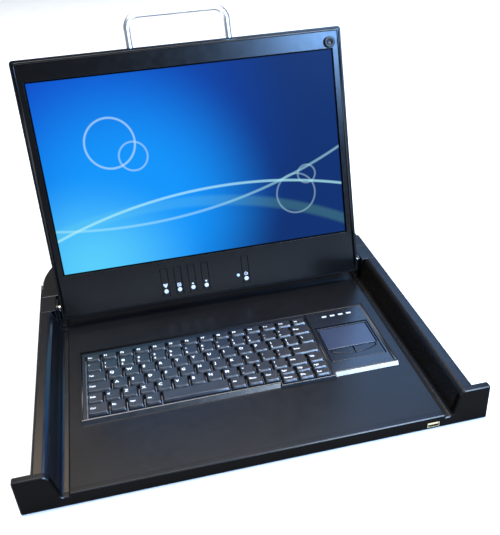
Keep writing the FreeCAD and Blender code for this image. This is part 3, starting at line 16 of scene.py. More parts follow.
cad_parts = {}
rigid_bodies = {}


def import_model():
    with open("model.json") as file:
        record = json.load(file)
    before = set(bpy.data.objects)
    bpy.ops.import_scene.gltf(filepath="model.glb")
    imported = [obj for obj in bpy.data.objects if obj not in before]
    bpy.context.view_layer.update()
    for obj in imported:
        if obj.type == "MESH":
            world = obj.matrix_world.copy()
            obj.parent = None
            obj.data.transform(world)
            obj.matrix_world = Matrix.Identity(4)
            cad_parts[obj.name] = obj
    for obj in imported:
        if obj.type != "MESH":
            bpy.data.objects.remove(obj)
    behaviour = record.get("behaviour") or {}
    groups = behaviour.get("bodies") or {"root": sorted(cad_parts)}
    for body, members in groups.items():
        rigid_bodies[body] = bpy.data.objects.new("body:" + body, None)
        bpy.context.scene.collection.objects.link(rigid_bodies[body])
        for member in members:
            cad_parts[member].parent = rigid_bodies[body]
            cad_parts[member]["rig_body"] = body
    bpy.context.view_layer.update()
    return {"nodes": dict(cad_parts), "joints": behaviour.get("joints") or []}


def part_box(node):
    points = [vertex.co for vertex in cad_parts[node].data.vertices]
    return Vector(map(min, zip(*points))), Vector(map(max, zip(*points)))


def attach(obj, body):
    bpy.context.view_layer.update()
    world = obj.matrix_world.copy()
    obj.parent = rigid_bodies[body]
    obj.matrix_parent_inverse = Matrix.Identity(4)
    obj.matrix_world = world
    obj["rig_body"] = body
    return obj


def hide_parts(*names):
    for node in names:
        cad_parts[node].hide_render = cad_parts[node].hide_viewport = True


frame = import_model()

MM = 0.001
scene = bpy.context.scene
parts = frame["nodes"]

# %% [markdown]
# The camera stands in front of the drawer, above it and left of its middle, and is tilted a little sideways.
# A camera can be aimed with a target, but here its three angles are known, so we build its axes from them.
# The lens is slid sideways and upwards a little, which moves the picture and keeps its perspective.

# %% Camera
AIM_SIDE, AIM_DOWN, ROLL = 0.202, 0.580, 0.060
FOCAL_LENGTH, SENSOR_WIDTH = 47.69, 36
SHIFT_SIDE, SHIFT_UP = -0.0339, 0.0657
CAMERA_PLACE = (-0.091484, -0.510956, 0.529264)
forward = Vector((math.sin(AIM_SIDE) * math.cos(AIM_DOWN), math.cos(AIM_SIDE) * math.cos(AIM_DOWN),
                  -math.sin(AIM_DOWN)))
level_right = Vector((math.cos(AIM_SIDE), -math.sin(AIM_SIDE), 0))
level_down = forward.cross(level_right)
right = math.cos(ROLL) * level_right + math.sin(ROLL) * level_down
down = -math.sin(ROLL) * level_right + math.cos(ROLL) * level_down


def add_object(name, data):
    """An object made of some data and linked to the scene."""
    thing = bpy.data.objects.new(name, data)
    scene.collection.objects.link(thing)
    return thing


lens = bpy.data.cameras.new("drawer_camera")
lens.lens, lens.sensor_width = FOCAL_LENGTH, SENSOR_WIDTH
lens.shift_x, lens.shift_y = SHIFT_SIDE, SHIFT_UP
camera = add_object("drawer_camera", lens)
camera.matrix_world = Matrix((right, -down, -forward)).transposed().to_4x4()
camera.matrix_world.translation = CAMERA_PLACE
scene.camera = camera
print("camera at", [round(v, 3) for v in camera.matrix_world.translation])

# %% [markdown]
# The studio is a pale floor that fills the picture, with five broad soft lamps.
# One hangs overhead like a cloudy sky. Behind the drawer a cool one on the right and a faint warm one on the
# left skim over the dark walls, and two cool ones stand in front on the right, like windows.
# Small hard lamps would draw sharp spots on satin paint, so every lamp here is a large panel.

# %% Floor
def floor_plane(half):
    """A flat square of four corners, half metres each way, at z = 0."""
    mesh = bpy.data.meshes.new("studio_floor")
    corners = [(-half, -half, 0), (half, -half, 0), (half, half, 0), (-half, half, 0)]
    mesh.from_pydata(corners, [], [(0, 1, 2, 3)])
    floor = add_object("studio_floor", mesh)
    return floor


floor = floor_plane(half=8.0)
print("floor laid under the drawer")

# %% Lamps
def soft_lamp(name, place, target, size, power, colour):
    """A flat panel of light at a place, facing a target; size is its width and its height."""
    light = bpy.data.lights.new(name, "AREA")
    light.shape, light.size, light.size_y = "RECTANGLE", size[0], size[1]
    light.energy, light.color = power, colour
    lamp = add_object(name, light)
    lamp.location = place
    lamp.rotation_euler = (Vector(target) - Vector(place)).to_track_quat("-Z", "Y").to_euler()
    return lamp


# Each lamp has its place, its target, its size, its power in watts and its colour.
WINDOW_BLUE = (0.24, 0.50, 1.0)
LAMPS = {
    "sky_overhead": ((-0.25, 0.62, 3.2), (-0.1, 0.40, 0), (3.4, 2.4), 195, (1.0, 1.0, 1.0)),
    "window_right": ((1.05, 2.05, 1.70), (0.1, 0.1, 0.05), (0.9, 0.7), 8.0, WINDOW_BLUE),
    "room_left": ((-0.62, 2.0, 2.05), (-0.2, 0.0, 0.0), (0.7, 0.6), 1.9, (1.0, 0.76, 0.50)),
    "window_front": ((1.12, -1.75, 1.16), (0.2, 0.33, 0.3), (0.9, 0.6), 82, WINDOW_BLUE),
    "window_high": ((0.92, -1.54, 1.70), (0.15, 0.05, 0.02), (0.7, 0.55), 44, (0.76, 0.88, 1.0)),
}
lamps = [soft_lamp(name, *values) for name, values in LAMPS.items()]
print(len(lamps), "lamps")

# %% Air
AIR_COLOUR, AIR_STRENGTH = (0.86, 0.90, 0.95, 1), 0.10


def fill(node, values):
    """Write values into a node's sockets, by their names."""
    for socket, value in values.items():
        node.inputs[socket].default_value = value


world = bpy.data.worlds.new("studio_air")
world.use_nodes = True
fill(world.node_tree.nodes["Background"], {"Color": AIR_COLOUR, "Strength": AIR_STRENGTH})
scene.world = world
scene.view_settings.view_transform = "Standard"
print("air of strength", AIR_STRENGTH)

# %% [markdown]
# A finish is a small network of nodes. A noise at the right size bends the light, and slower ones vary the
# gloss and the colour. A picture of the paint would show its edges and repeat, so the noise is computed.
# We write short helpers, so that each finish below reads as a recipe with its measures in millimetres.

# %% Patterns
NOISE_LOW, NOISE_HIGH = 0.3, 0.7


def new_finish(name):
    """An empty finish with its shader, and the place on the piece as a source of patterns."""
    material = bpy.data.materials.new(name)
    material.use_nodes = True
    tree = material.node_tree
    shader = tree.nodes["Principled BSDF"]
    place = tree.nodes.new("ShaderNodeTexCoord").outputs["Object"]
    return material, tree, shader, place


def noise(tree, place, size_mm, detail=2.0, stretch=(1, 1, 1)):
    """Noise whose lumps are about size_mm across, longer along an axis where stretch is below one."""
    mapping = tree.nodes.new("ShaderNodeMapping")
    fill(mapping, {"Scale": stretch})
    tree.links.new(place, mapping.inputs["Vector"])
    texture = tree.nodes.new("ShaderNodeTexNoise")
    fill(texture, {"Scale": 1 / (size_mm * MM), "Detail": detail})
    tree.links.new(mapping.outputs["Vector"], texture.inputs["Vector"])
    return texture.outputs["Fac"]


def carried(tree, value, start, end, low, high, curve="LINEAR"):
    """Carry a value from the range start to end over to the range low to high, and hold it there outside."""
    remap = tree.nodes.new("ShaderNodeMapRange")
    remap.interpolation_type = curve
    fill(remap, {"From Min": start, "From Max": end, "To Min": low, "To Max": high})
    tree.links.new(value, remap.inputs["Value"])
    return remap.outputs["Result"]


def spread(tree, value, low, high):
    """Stretch the middle of a noise to the range from low to high."""
    return carried(tree, value, NOISE_LOW, NOISE_HIGH, low, high)


def over(tree, under, colour, amount):
    """Lay a colour over another one, which is a colour or a socket, by an amount from 0 to 1."""
    mix = tree.nodes.new("ShaderNodeMix")
    mix.data_type = "RGBA"
    fill(mix, {"B": (*colour, 1)})
    if isinstance(under, tuple):
        fill(mix, {"A": (*under, 1)})
    else:
        tree.links.new(under, mix.inputs["A"])
    tree.links.new(amount, mix.inputs["Factor"])
    return mix.outputs["Result"]


def grain(tree, shader, height, depth_mm):
    """Bend the light as if the surface rose and fell by depth_mm."""
    bump = tree.nodes.new("ShaderNodeBump")
    fill(bump, {"Distance": depth_mm * MM, "Strength": 1.0})
    tree.links.new(height, bump.inputs["Height"])
    tree.links.new(bump.outputs["Normal"], shader.inputs["Normal"])


print("noise is used from", NOISE_LOW, "to", NOISE_HIGH)

# %% Coats and brushed metal
COLOUR_PATCH_MM, GLOSS_PATCH_MM = 60, 9
METAL_PATCH_MM, LINE_MM, LINE_STRETCH, LINE_DEPTH_MM = 25, 0.4, 0.03, 0.004


def coated(name, dark, light, gloss, grain_mm, depth_mm, mirror=0.5):
    """A coat with fine grain and slow changes of gloss and colour; mirror is how much it mirrors."""
    material, tree, shader, place = new_finish(name)
    shade = spread(tree, noise(tree, place, COLOUR_PATCH_MM), 0, 1)
    tree.links.new(over(tree, dark, light, shade), shader.inputs["Base Color"])
    tree.links.new(spread(tree, noise(tree, place, GLOSS_PATCH_MM, 3), *gloss), shader.inputs["Roughness"])
    fill(shader, {"Specular IOR Level": mirror})
    grain(tree, shader, noise(tree, place, grain_mm, 3), depth_mm)
    return material


def brushed(name, dark, light, gloss, along):
    """Bare metal with fine lines along one axis (0 for x, 1 for y, 2 for z)."""
    material, tree, shader, place = new_finish(name)
    stretch = [1, 1, 1]
    stretch[along] = LINE_STRETCH
    lines = noise(tree, place, LINE_MM, 2, stretch)
    shade = spread(tree, noise(tree, place, METAL_PATCH_MM), 0, 1)
    tree.links.new(over(tree, dark, light, shade), shader.inputs["Base Color"])
    tree.links.new(spread(tree, lines, *gloss), shader.inputs["Roughness"])
    fill(shader, {"Metallic": 1.0})
    grain(tree, shader, lines, LINE_DEPTH_MM)
    return material


def dress(names, material):
    """Give a finish to CAD nodes."""
    for name in names:
        mesh = parts[name].data
        mesh.materials.clear()
        mesh.materials.append(material)


def both(name):
    """A pair's two names."""
    return [f"{name}_left", f"{name}_right"]


floor_pale = coated("floor_pale", (0.90, 0.90, 0.90), (0.93, 0.93, 0.93), (0.7, 0.8), 3.0, 0.02, 0.2)
floor.data.materials.append(floor_pale)
print("floor painted")

# %% [markdown]
# The drawer, its walls and its deck have a fine black powder coat: satin, with a grain that only light shows.
# The display's frame is smoother and a little glossier, and the keys' plastic is paler with a finer grain.
# Bare metal shows at the hinge leaves and the screws, on the slides and on the handle.
# All coats share one recipe and differ in their values, so the values stand in a table.

# %% Finishes of the drawer and the display
# Each coat has two colours, its range of roughness, the size and depth of its grain in millimetres, and how
# much it mirrors.
COATS = {
    "black_powder_coat": ((0.0042, 0.0044, 0.0050), (0.0060, 0.0062, 0.0070), (0.29, 0.34), 0.6, 0.010, 0.5),
    "deck_coat": ((0.0040, 0.0042, 0.0050), (0.0060, 0.0062, 0.0075), (0.28, 0.33), 0.6, 0.010, 0.34),
    # The two side walls share one coat. The left copy is bluer and mirrors more as painted sheen; the right
    # copy is warmer and mirrors less as painted shade.
    "wall_coat_left_painted_sheen": ((0.0040, 0.0043, 0.0056), (0.0058, 0.0062, 0.0080), (0.19, 0.24), 0.6, 0.006, 1.0),
    "wall_coat_right_painted_shade": ((0.0048, 0.0043, 0.0040), (0.0068, 0.0060, 0.0056), (0.24, 0.29), 0.6, 0.006, 0.36),
    # The front panel's front faces get this darker, duller coat as painted shade, while its upward faces take
    # the deck's coat.
    "front_panel_painted_shade": ((0.0018, 0.0014, 0.0010), (0.0027, 0.0021, 0.0016), (0.30, 0.40), 0.5, 0.008, 0.03),
    "shell_black": ((0.0036, 0.0037, 0.0042), (0.0050, 0.0052, 0.0060), (0.30, 0.36), 0.5, 0.006, 0.2),
    "bezel_black": ((0.0024, 0.0021, 0.0020), (0.0034, 0.0030, 0.0029), (0.20, 0.24), 0.4, 0.003, 0.38),
    "keyboard_frame_black": ((0.006, 0.0068, 0.009), (0.009, 0.0102, 0.0135), (0.24, 0.28), 0.5, 0.004, 0.8),
    "key_black": ((0.009, 0.0100, 0.0130), (0.013, 0.0145, 0.0185), (0.30, 0.36), 0.35, 0.006, 0.8),
    "touchpad_black": ((0.007, 0.0085, 0.013), (0.010, 0.0125, 0.019), (0.26, 0.30), 0.3, 0.003, 0.5),
    # The touchpad's base colour is tinted blue as a painted reflection of the cool light; its high mirror is
    # its real gloss.
    "touchpad_glaze_painted_sheen": ((0.012, 0.0185, 0.042), (0.016, 0.0250, 0.055), (0.30, 0.34), 0.3, 0.002, 1.0),
    "soft_rubber": ((0.0035, 0.0034, 0.0036), (0.0060, 0.0058, 0.0060), (0.34, 0.42), 0.6, 0.010, 0.4),
    "solder_mask": ((0.004, 0.05, 0.02), (0.01, 0.09, 0.035), (0.25, 0.35), 1.5, 0.020, 0.5),
    "black_solder_mask": ((0.004, 0.004, 0.004), (0.007, 0.007, 0.007), (0.35, 0.45), 1.5, 0.020, 0.2),
    "socket_black": ((0.006, 0.006, 0.006), (0.010, 0.010, 0.010), (0.3, 0.4), 0.4, 0.010, 0.5),
}
# Each metal has two colours, its range of roughness and the axis of its lines.
METALS = {
    "satin_chrome": ((0.86, 0.86, 0.87), (0.93, 0.93, 0.94), (0.32, 0.42), 0),
    "nickel_plate": ((0.54, 0.51, 0.43), (0.70, 0.67, 0.58), (0.24, 0.36), 1),
    "zinc_plate": ((0.42, 0.43, 0.45), (0.55, 0.56, 0.58), (0.30, 0.45), 1),
    "plated_socket": ((0.60, 0.52, 0.32), (0.78, 0.70, 0.46), (0.22, 0.34), 1),
}
finishes = {name: coated(name, *recipe) for name, recipe in COATS.items()}
finishes.update({name: brushed(name, *recipe) for name, recipe in METALS.items()})
print(len(finishes), "finishes")

# %% Who wears what
DISPLAY_BUTTONS = ["menu_button", "select_button", "up_button", "down_button", "power_button"]
WEARS = {
    "black_powder_coat": ["chassis_pan", "drawer_tray", "rear_cover", *both("hinge_cap"),
                          *both("hinge_bracket")],
    "deck_coat": ["deck_plate"],
    "wall_coat_left_painted_sheen": ["side_cover_left"],
    "wall_coat_right_painted_shade": ["side_cover_right"],
    "front_panel_painted_shade": ["front_panel"],
    "shell_black": ["display_shell"],
    "bezel_black": ["display_bezel", *DISPLAY_BUTTONS],
    "keyboard_frame_black": ["keyboard_frame"],
    "key_black": ["function_keys", "number_keys", "upper_letter_keys", "home_letter_keys",
                  "lower_letter_keys", "modifier_keys", "space_bar", "arrow_keys"],
    "touchpad_glaze_painted_sheen": ["touchpad"],
    "touchpad_black": ["touchpad_surround", *both("touchpad_button")],
    "soft_rubber": ["display_bumper", "key_membrane"],
    "solder_mask": ["control_board", "driver_board", "button_board", "usb_board"],
    "black_solder_mask": ["keyboard_board"],
    "socket_black": ["power_inlet"],
    "satin_chrome": ["carry_handle"],
    "nickel_plate": ["handle_anchors", "cover_screws", *both("hinge_leaf")],
    "zinc_plate": ["key_plate", "key_guide", "module_holders", *both("slide_outer"), *both("slide_middle"),
                   *both("slide_inner")],
    "plated_socket": ["front_usb_port", "video_port", "host_port"],
}
for finish, names in WEARS.items():
    dress(names, finishes[finish])
print(sum(len(names) for names in WEARS.values()), "solids dressed")

# %% [markdown]
# CAD edges are perfectly sharp, and a sharp edge never catches the light.
# The mouldings and pressings that are seen most are copied, their triangles are joined again, and a bevel
# rounds each sharp edge. A bevel on the CAD node itself would tear its loose triangles apart at every seam.

# %% Points of a mesh
MERGE_MM, SLIVER_MM, FLAT_ANGLE = 0.002, 0.001, math.radians(0.5)


def points_of(mesh):
    """The points of a mesh as an array with a row for each."""
    points = np.empty(len(mesh.vertices) * 3)
    mesh.vertices.foreach_get("co", points)
    return points.reshape(-1, 3)


def joined_copy(name, change=None):
    """A copy of a CAD node's mesh, its triangles joined and its points changed by a function if given."""
    mesh = parts[name].data.copy()
    if "custom_normal" in mesh.attributes:
        mesh.attributes.remove(mesh.attributes["custom_normal"])
    joined = bmesh.new()
    joined.from_mesh(mesh)
    bmesh.ops.remove_doubles(joined, verts=joined.verts, dist=MERGE_MM * MM)
    bmesh.ops.dissolve_degenerate(joined, edges=joined.edges, dist=SLIVER_MM * MM)
    bmesh.ops.dissolve_limit(joined, angle_limit=FLAT_ANGLE, verts=joined.verts, edges=joined.edges)
    joined.to_mesh(mesh)
    joined.free()
    if change:
        mesh.vertices.foreach_set("co", change(points_of(mesh)).ravel())
        mesh.update()
    return mesh


print(len(points_of(parts["front_panel"].data)), "points in the front panel")

# %% Rounded edges
SHARP_ANGLE, UPWARD = math.radians(35), 0.3


def round_edges(piece, width_mm, segments, harden):
    """A bevel on every edge that turns by more than the sharp angle; harden keeps the flat faces flat."""
    bevel = piece.modifiers.new("rounded_edges", "BEVEL")
    bevel.width, bevel.segments = width_mm * MM, segments
    bevel.limit_method, bevel.angle_limit = "ANGLE", SHARP_ANGLE
    bevel.use_clamp_overlap = True
    bevel.harden_normals = harden


def softened(name, width_mm, change=None, upper=None):
    """A copy of a CAD node whose sharp edges are rounded by a bevel of width_mm.

    Its points may be changed by a function first, and faces that look upwards may get another finish: painted
    light on the top and painted shade on the other faces of one piece.
    """
    mesh = joined_copy(name, change)
    piece = add_object(f"{name}_rounded", mesh)
    if upper:
        # Faces that look upwards get the second finish, so the top of the piece is painted lighter than its
        # other faces.
        normals = np.empty(len(mesh.polygons) * 3)
        mesh.polygons.foreach_get("normal", normals)
        mesh.materials.append(upper)
        mesh.polygons.foreach_set("material_index", (normals.reshape(-1, 3)[:, 2] > UPWARD).astype(np.int32))
    mesh.polygons.foreach_set("use_smooth", np.ones(len(mesh.polygons), bool))
    round_edges(piece, width_mm, 3, True)
    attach(piece, parts[name]["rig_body"])
    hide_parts(name)
    return piece


# Each piece has the width of its bevel in millimetres and its slot.
ROUNDED = {
    "display_shell": (0.9, "display_shell"),
    "display_bezel": (0.6, "bezel_plastic"),
    "hinge_cap_left": (0.5, "black_steel"),
    "hinge_cap_right": (0.5, "black_steel"),
    "rear_cover": (0.5, "black_steel"),
    "hinge_bracket_left": (0.4, "bright_steel"),
    "hinge_bracket_right": (0.4, "bright_steel"),
}
rounded = {name: softened(name, width) for name, (width, slot) in ROUNDED.items()}
PANEL_BEVEL_MM = 0.35
# The front panel's top faces take the deck's coat and its front faces the darker one: painted light and
# painted shade on one moulding.
rounded["front_panel"] = softened("front_panel", PANEL_BEVEL_MM,
                                  upper=finishes["deck_coat"])
print(len(rounded), "pieces with rounded edges")

# %% Sloping front of the keyboard frame
FRAME_FILLET, FRAME_STEP = 0.75 * MM, 3.0 * MM
FRAME_SLOPE, STEP_SLOPE = 3.7 * MM, 1.2 * MM
BESIDE, BEFORE = 0.1 * MM, 0.3 * MM


def leaned_back(points):
    """The frame's points with its fronts leaned back.

    A point near a front moves back by the slope's depth times its share of the height, so the foot stays.
    The part below the arrow keys stands a step further forward and has a narrow rim, so it leans less.
    """
    x, y, z = points.T.copy()
    low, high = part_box("keyboard_frame")
    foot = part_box("deck_plate")[1].z
    share = np.clip((z - foot) / (high.z - foot), 0, 1)
    on_step = y < low.y + FRAME_FILLET
    step_start, step_end = x[on_step].min(), x[on_step].max()
    beside = (x < step_start + BESIDE) | (x > step_end - BESIDE)
    on_front = beside & (y > low.y + FRAME_STEP - BEFORE) & (y < low.y + FRAME_STEP + FRAME_FILLET)
    points[:, 1] += share * (on_step * STEP_SLOPE + on_front * FRAME_SLOPE)
    return points


rounded["keyboard_frame"] = softened("keyboard_frame", PANEL_BEVEL_MM, leaned_back)
print("slope of", FRAME_SLOPE, "m on the frame's front")

# %% [markdown]
# A keycap is a stack of closed rings: the foot, the sloping skirt, the rounded shoulder and the hollow top.
# It could be a box with a bevel, but then the top would be flat and the light would lie still on it.
# All keys of a row are computed together, as one array of keys by rings by points.

# %% Points on circles and at heights
def on_circle(angle):
    """The points of a circle of radius one at some angles: the cosine and the sine."""
    return np.stack([np.cos(angle), np.sin(angle)], -1)


def lifted(plan, height):
    """Points in plan with a height added to each: one for all of them, or an array that fits theirs."""
    return np.concatenate([plan, np.broadcast_to(height, plan.shape[:-1])[..., None]], -1)


print("a quarter turn leads to", [round(v, 3) for v in on_circle(math.pi / 2)])

# %% The outline of a rounded rectangle
def rounded_outline(arc=5, straight=3):
    """Fractions and directions of the points on a rounded rectangle, once round from the right side.

    A point lies at fraction times (half size less radius), plus radius times direction.
    """
    fractions, directions = [], []
    quarter_turn = np.array([[0, -1], [1, 0]])
    corner = on_circle(np.linspace(0, math.pi / 2, arc))
    side = np.stack([np.linspace(1, -1, straight + 2)[1:-1], np.ones(straight)], 1)
    for quarter in range(4):
        spin = np.linalg.matrix_power(quarter_turn, quarter)
        fractions.append(np.concatenate([np.ones((arc, 2)), side]) @ spin.T)
        directions.append(np.concatenate([corner, np.tile([0.0, 1.0], (straight, 1))]) @ spin.T)
    return np.concatenate(fractions), np.concatenate(directions)


def ring_faces(rings, around, count):
    """Quads between neighbouring rings of each of count stacks, with a fan at both ends.

    A stack holds rings times around points, then the pole under the first ring and the pole over the last.
    """
    size = rings * around + 2
    here = np.arange(around)
    after = np.roll(here, -1)
    low = np.arange(rings - 1)[:, None] * around
    quads = np.stack([low + here, low + after, low + after + around, low + here + around], -1).reshape(-1, 4)
    last = (rings - 1) * around
    under = np.stack([after, here, np.full(around, size - 2)], 1)
    over_top = np.stack([last + here, last + after, np.full(around, size - 1)], 1)
    starts = (np.arange(count) * size)[:, None, None]
    quads = (quads[None] + starts).reshape(-1, 4)
    fans = (np.concatenate([under, over_top])[None] + starts).reshape(-1, 3)
    return quads, fans


def new_mesh(name, points, quads, fans):
    """An object from arrays of points, four-sided faces and three-sided faces, shaded smooth."""
    mesh = bpy.data.meshes.new(name)
    mesh.vertices.add(len(points))
    mesh.vertices.foreach_set("co", np.asarray(points, np.float32).ravel())
    mesh.loops.add(quads.size + fans.size)
    mesh.loops.foreach_set("vertex_index", np.concatenate([quads.ravel(), fans.ravel()]).astype(np.int32))
    mesh.polygons.add(len(quads) + len(fans))
    starts = np.concatenate([np.arange(len(quads)) * 4, quads.size + np.arange(len(fans)) * 3])
    mesh.polygons.foreach_set("loop_start", starts.astype(np.int32))
    mesh.update(calc_edges=True)
    mesh.validate()
    mesh.polygons.foreach_set("use_smooth", np.ones(len(mesh.polygons), bool))
    return add_object(name, mesh)


print(len(rounded_outline()[0]), "points round a key")

# %% The cells of the keyboard
KEY_GAP = 0.8 * MM
# The widths of each row's keys in pitches; a width below zero is a place without a key.
KEY_WIDTHS = {
    "function_keys": [0.975] + [1.025] * 12 + [0.975],
    "number_keys": [1] * 13 + [1.25],
    "upper_letter_keys": [1.25] + [1] * 13,
    "home_letter_keys": [1.5] + [1] * 11 + [1.75],
    "lower_letter_keys": [1] * 12 + [1.25, 1],
    "modifier_keys": [1.25, 1, 1, 1, -4, 1, 1, 1],
    "space_bar": [4],
    "arrow_keys": [1, 1, 1],
}


def key_cells(row):
    """The lowest and highest x and y of the cell of each key of a row, half a gap outside the key's foot."""
    low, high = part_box(row)
    widths = np.array(KEY_WIDTHS[row], float)
    pitch = (high.x - low.x + KEY_GAP) / np.abs(widths).sum()
    ends = low.x - KEY_GAP / 2 + np.cumsum(np.abs(widths)) * pitch
    starts = ends - np.abs(widths) * pitch
    across = np.stack([starts, ends], 1)[widths > 0]
    rows = 2 if row == "arrow_keys" else 1
    lines = np.linspace(low.y - KEY_GAP / 2, high.y + KEY_GAP / 2, rows + 1)
    deep = np.stack([lines[:-1], lines[1:]], 1)
    cells = np.concatenate([np.repeat(across[None], rows, 0), np.repeat(deep[:, None], len(across), 1)], -1)
    return cells.reshape(-1, 4)


print({row: len(key_cells(row)) for row in KEY_WIDTHS})

# %% Tops of the keys
DRAFT_SIDE, DRAFT_FRONT, DRAFT_BACK = 1.7 * MM, 2.4 * MM, 0.9 * MM
KEY_HOLLOW = 0.30 * MM


def top_of_keys(row):
    """The middle and the half size of each key's top, and its height."""
    x0, x1, y0, y1 = key_cells(row).T
    gap = KEY_GAP / 2
    middle = np.stack([(x0 + x1) / 2, (y0 + gap + DRAFT_FRONT + y1 - gap - DRAFT_BACK) / 2], 1)
    half = np.stack([(x1 - x0) / 2 - gap - DRAFT_SIDE, (y1 - y0 - 2 * gap - DRAFT_FRONT - DRAFT_BACK) / 2], 1)
    return middle, half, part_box(row)[1].z


def hollow(row, x, half_x):
    """How far the top lies below its highest line.

    A key has a shallow trough along y, a parabola across x. The space bar is flat and falls at its ends.
    """
    off = np.clip(np.abs(x) / half_x, 0, 1)
    return KEY_HOLLOW * (off ** 6 if row == "space_bar" else 1 - off ** 2)


print("half a top", [round(v, 4) for v in top_of_keys("number_keys")[1][0]], "m")

# %% Rings of a keycap
CAP_HEIGHT, SHOULDER, SHOULDER_SHARE = 4.7 * MM, 0.55 * MM, 0.1
# A cap has three rings on the skirt, three on the shoulder and four on the top, from the foot to the middle.
SKIRT = np.array([0, 0.45, 0.86])
BEND = 1 - np.sin(np.radians([30, 60, 90]))
ON_TOP = np.ones(4)
RING_SHARE = np.concatenate([SKIRT, 1 - SHOULDER_SHARE * BEND, ON_TOP])
RING_DROP = np.concatenate([CAP_HEIGHT * (1 - SKIRT), SHOULDER * BEND, 0 * ON_TOP])
RING_SHRINK = np.array([0, 0, 0, 0.02, 0.10, 0.30, 1.0, 1.9, 4.5, 7.0]) * SHOULDER
RING_RADIUS = np.array([1.1, 1.25, 1.45, 1.5, 1.5, 1.5, 1.4, 1.2, 0.8, 0.4]) * MM
LARGEST_ROUND = 0.95
print("rings", [round(v / MM, 2) for v in RING_DROP], "mm below the top")

# %% Keycaps
def keycaps(row):
    """All caps of a row.

    A ring lies at a share of the slope (0 at the foot, 1 at the top), so its size and its middle run
    straight from the foot's to the top's, and its height is the top's less its drop. The shoulder follows
    a quarter of a circle, and the rings of the top shrink towards the middle. All rings above the skirt
    sink by the trough.
    """
    x0, x1, y0, y1 = key_cells(row).T
    foot_middle = np.stack([(x0 + x1) / 2, (y0 + y1) / 2], 1)
    foot_half = np.stack([(x1 - x0) / 2 - KEY_GAP / 2, (y1 - y0) / 2 - KEY_GAP / 2], 1)
    middle, half, top_z = top_of_keys(row)
    fractions, directions = rounded_outline()
    share, shrink = RING_SHARE[None, :, None], RING_SHRINK[None, :, None]
    ring_half = foot_half[:, None] + (half - foot_half)[:, None] * share - shrink
    ring_middle = foot_middle[:, None] + (middle - foot_middle)[:, None] * share
    radius = np.minimum(RING_RADIUS, ring_half.min(-1) * LARGEST_ROUND)[..., None, None]
    plan = ring_middle[:, :, None] + fractions * (ring_half[:, :, None] - radius) + directions * radius
    trough = hollow(row, plan[..., 0] - middle[:, None, None, 0], half[:, None, None, 0])
    above_skirt = np.arange(len(RING_DROP))[:, None] >= len(SKIRT)
    z = (top_z - RING_DROP)[:, None] - above_skirt * trough
    keys, rings, around = z.shape
    stack = lifted(plan, z).reshape(keys, rings * around, 3)
    under = lifted(foot_middle, top_z - CAP_HEIGHT)[:, None]
    over_top = lifted(middle, top_z - hollow(row, np.zeros(keys), half[:, 0]))[:, None]
    points = np.concatenate([stack, under, over_top], 1).reshape(-1, 3)
    piece = new_mesh(f"{row}_caps", points, *ring_faces(rings, around, keys))
    piece.data.materials.append(finishes["key_black"])
    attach(piece, parts[row]["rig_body"])
    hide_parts(row)
    return piece


caps = {row: keycaps(row) for row in KEY_WIDTHS}
print(sum(len(c.data.polygons) for c in caps.values()), "faces in the keycaps")

# %% [markdown]
# The legends are printed on the tops. A text curve can't follow a hollow top, so each legend is turned into a
# mesh first and every one of its points is laid on the trough.

# %% Words as meshes
INK_WEIGHT = 0.022


def text_mesh(words, size):
    """The points and triangles of some words, size high, starting at the origin, in the plane z = 0."""
    curve = bpy.data.curves.new("legend_words", "FONT")
    curve.body, curve.size, curve.resolution_u = words, size, 2
    curve.offset = size * INK_WEIGHT
    holder = add_object("legend_words", curve)
    mesh = holder.to_mesh()
    mesh.calc_loop_triangles()
    points = points_of(mesh)
    triangles = np.empty(len(mesh.loop_triangles) * 3, np.int64)
    mesh.loop_triangles.foreach_get("vertices", triangles)
    holder.to_mesh_clear()
    bpy.data.objects.remove(holder)
    bpy.data.curves.remove(curve)
    return points, triangles.reshape(-1, 3)


print(len(text_mesh("A", MM)[0]), "points in a letter")

# %% Legends
LETTER, PAIR, TWO_LETTERS, WORD = 5.9 * MM, 4.3 * MM, 4.4 * MM, 3.5 * MM
INK_START, INK_LIFT = 1.5 * MM, 0.04 * MM
PAIR_ABOVE, PAIR_BELOW = 0.6 * MM, 1.0 * MM
DEEP_TOP, DEEP_DROP, SHALLOW_DROP = 5.0 * MM, 0.2 * MM, 1.2 * MM
LEGENDS = {
    "function_keys": ["Esc"] + [f"F{i}" for i in range(1, 13)] + ["Ins"],
    "number_keys": ["`", "1\n!", "2\n@", "3\n#", "4\n$", "5\n%", "6\n^", "7\n&", "8\n*", "9\n(", "0\n)",
                    "-\n_", "=\n+", "Bksp"],
    "upper_letter_keys": ["Tab", *"QWERTYUIOP", "[\n{", "]\n}", "\\"],
    "home_letter_keys": ["Caps", *"ASDFGHJKL", ";\n:", "'\n\"", "Enter"],
    "lower_letter_keys": ["Shift", "<", *"ZXCVBNM", ",\n<", ".\n>", "/\n?", "Shift", "Up"],
    "modifier_keys": ["Ctrl", "Fn", "Opt", "Alt", "Alt", "Menu", "Ctrl"],
    "arrow_keys": ["Home", "Dn", "End", "PgU", "Up", "PgD"],
}


def legend_lines(words, half_y):
    """Each line of a legend with its size and its height over the middle of the top."""
    if "\n" in words:
        lower, upper = words.split("\n")
        return [(upper, PAIR, PAIR_ABOVE), (lower, PAIR, PAIR_BELOW - half_y)]
    size = LETTER if len(words) == 1 else TWO_LETTERS if len(words) == 2 else WORD
    return [(words, size, -DEEP_DROP if half_y > DEEP_TOP else -SHALLOW_DROP)]


